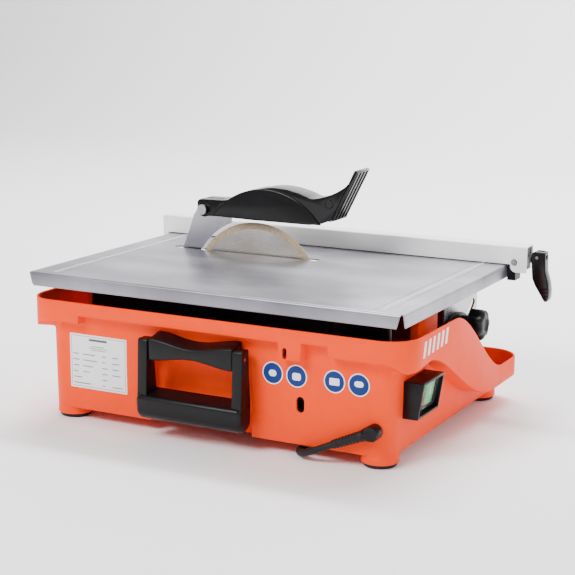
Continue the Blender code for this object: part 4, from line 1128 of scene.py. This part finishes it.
def add_switch():
    """The hooded switch: a thick frame, two keys with plain marks, and a clear film over them."""
    low, high = extent("switch_housing")
    y0, y1, z0, z1 = low.y, high.y, low.z, high.z
    back = BODY[1] - DRAFT
    hood = prism([(back, z0), (0.5293, z0), (0.5368, z1), (back, z1)], "xz", y0, y1)
    hood = soften(hood, 0.0012, 3)
    wall = 0.0036
    pocket = loft(*[on_plane(rounded(y0 + w, y1 - w, z0 + w, z1 - w, radius, 3), "yz", x)
                    for w, radius, x in ((wall, 0.0012, 0.5185), (wall - 0.001, 0.0014, 0.56))])
    window = block((0.5, 0.06, 0.066), (0.53, 0.104, 0.096))
    piece("switch_hood", cut(hood, pocket, window), "gloss_black_plastic", "base",
          "switch_housing", material=LOOKS["black_plastic"])
    pale = look("key_print", (0.88, 0.86, 0.84), 0.4, mottle=0.03)
    foot_x, slope_x, top_x, slope_z = 0.5233, 0.5252, 0.5288, 0.009
    low, high = extent("off_button")
    slope = math.atan2(top_x - slope_x, high.z - low.z - slope_z)
    mark_z = low.z + 0.0165
    mark_x = slope_x + (mark_z - low.z - slope_z) * math.tan(slope)
    ring = turned([(0.0036, -0.0003), (0.0056, -0.0003), (0.0056, 0.0004), (0.0036, 0.0004)],
                  (0, 0, 0), "x", 40)
    bar = prism(rounded(-0.0011, 0.0011, -0.006, 0.006, 0.001, 3), "yz", -0.0003, 0.0004)
    marks = []
    for name, slot, mark in (("off", "red_plastic", ring), ("on", "green_plastic", bar)):
        low, high = extent(name + "_button")
        section = [(low.x, low.z), (foot_x, low.z), (slope_x, low.z + slope_z), (top_x, high.z),
                   (low.x, high.z)]
        key = soften(prism(section, "xz", low.y + 0.0001, high.y - 0.0001), 0.001, 3)
        piece("key_" + name, key, slot, name + "_key", name + "_button")
        lie = (Matrix.Translation((mark_x, (low.y + high.y) / 2, mark_z))
               @ Matrix.Rotation(slope, 4, "Y"))
        marks.append((name, moved(mark, lie)))
    for name, mark in marks:
        printed(f"key_{name}_mark", mark, name + "_key", pale)
    low, high = extent("switch_boot")
    skin = 0.0009
    outer = [(low.x, low.z), (0.5266, low.z), (0.5328, high.z), (low.x, high.z)]
    inner = [(0.505, low.z + skin), (0.5266 - skin, low.z + skin), (0.5328 - skin, high.z - skin),
             (0.505, high.z - skin)]
    film = cut(soften(prism(outer, "xz", low.y, high.y), 0.001, 2),
               prism(inner, "xz", low.y + skin, high.y - skin))
    piece("switch_film", film, "clear_plastic", "base", "switch_boot")


# ---- carrying handle

def add_handle():
    """The folding handle: two arms, a fat rounded grip, and the bow-shaped hinge block."""
    low, high = extent("handle_bail")
    x0, x1 = low.x, high.x
    pin_y, pin_z = -0.004, 0.118
    arm = 0.0135
    side = [(0.0034, 0.1298), (-0.0104, 0.1298), (-0.0124, 0.1276), (-0.013, 0.118),
            (-0.015, 0.07), (-0.0165, 0.048), (-0.006, 0.04), (0.008, 0.044),
            (0.0085, 0.064), (0.0048, 0.1), (0.0042, 0.1286)]
    arms = [soften(prism(side, "yz", a, b), 0.002, 3, 30)
            for a, b in ((x0 + 0.0002, x0 + arm), (x1 - arm, x1 - 0.0002))]
    section = (arc((-0.0048, 0.0408), 0.0147, 190, 345, 14)
               + arc((0.0086, 0.061), 0.0026, 0, 100, 5)
               + arc((-0.0142, 0.0532), 0.0058, 100, 175, 6))
    middle = Vector((-0.0045, 0.045))
    ends = [(0.0, 0.8), (0.0012, 0.9), (0.0032, 0.965), (0.0062, 1.0)]
    spans = [(x0 + d, s) for d, s in ends] + [(x1 - d, s) for d, s in reversed(ends)]
    rings = [on_plane([middle + (Vector(p) - middle) * size for p in section], "yz", x)
             for x, size in spans]
    grip = loft(*rings)
    pin_hole = disc(0.0029, 0.0, 0.3, (x0 - 0.05, pin_y, pin_z), "x", 20)
    bail = cut(union(grip, *arms), pin_hole)
    piece("carry_handle", bail, "black_plastic", "handle", "handle_bail", angle=35)
    low, high = extent("handle_mount")
    left, right = low.x, high.x
    middle, waist, count = (left + right) / 2, 0.0075, 20
    top, under = [], []
    for i in range(count + 1):
        x = left + (right - left) * i / count
        pinch = waist * (1 + math.cos(2 * math.pi * (x - middle) / (right - left))) / 2
        top.append((x, 0.131 - pinch))
        under.append((x, 0.103 + pinch * 0.9))
    front, back = under + top[::-1], under + [(x, z + 0.0055) for x, z in top[::-1]]
    bow = soften(loft(on_plane(front, "xz", low.y), on_plane(back, "xz", high.y)), 0.0026, 4, 40)
    piece("hinge_block", bow, "black_plastic", "base", "handle_mount", angle=35)


# ---- the whole


LOOKS = make_looks()
add_camera()
add_cord()
add_studio()
dress_frame()
add_tub()
add_base_parts()
add_label()
add_sign_discs()
add_side_stripes()
add_table()
add_fence()
add_lever()
add_blade()
add_guard()
add_tilt_knobs()
add_switch()
add_handle()
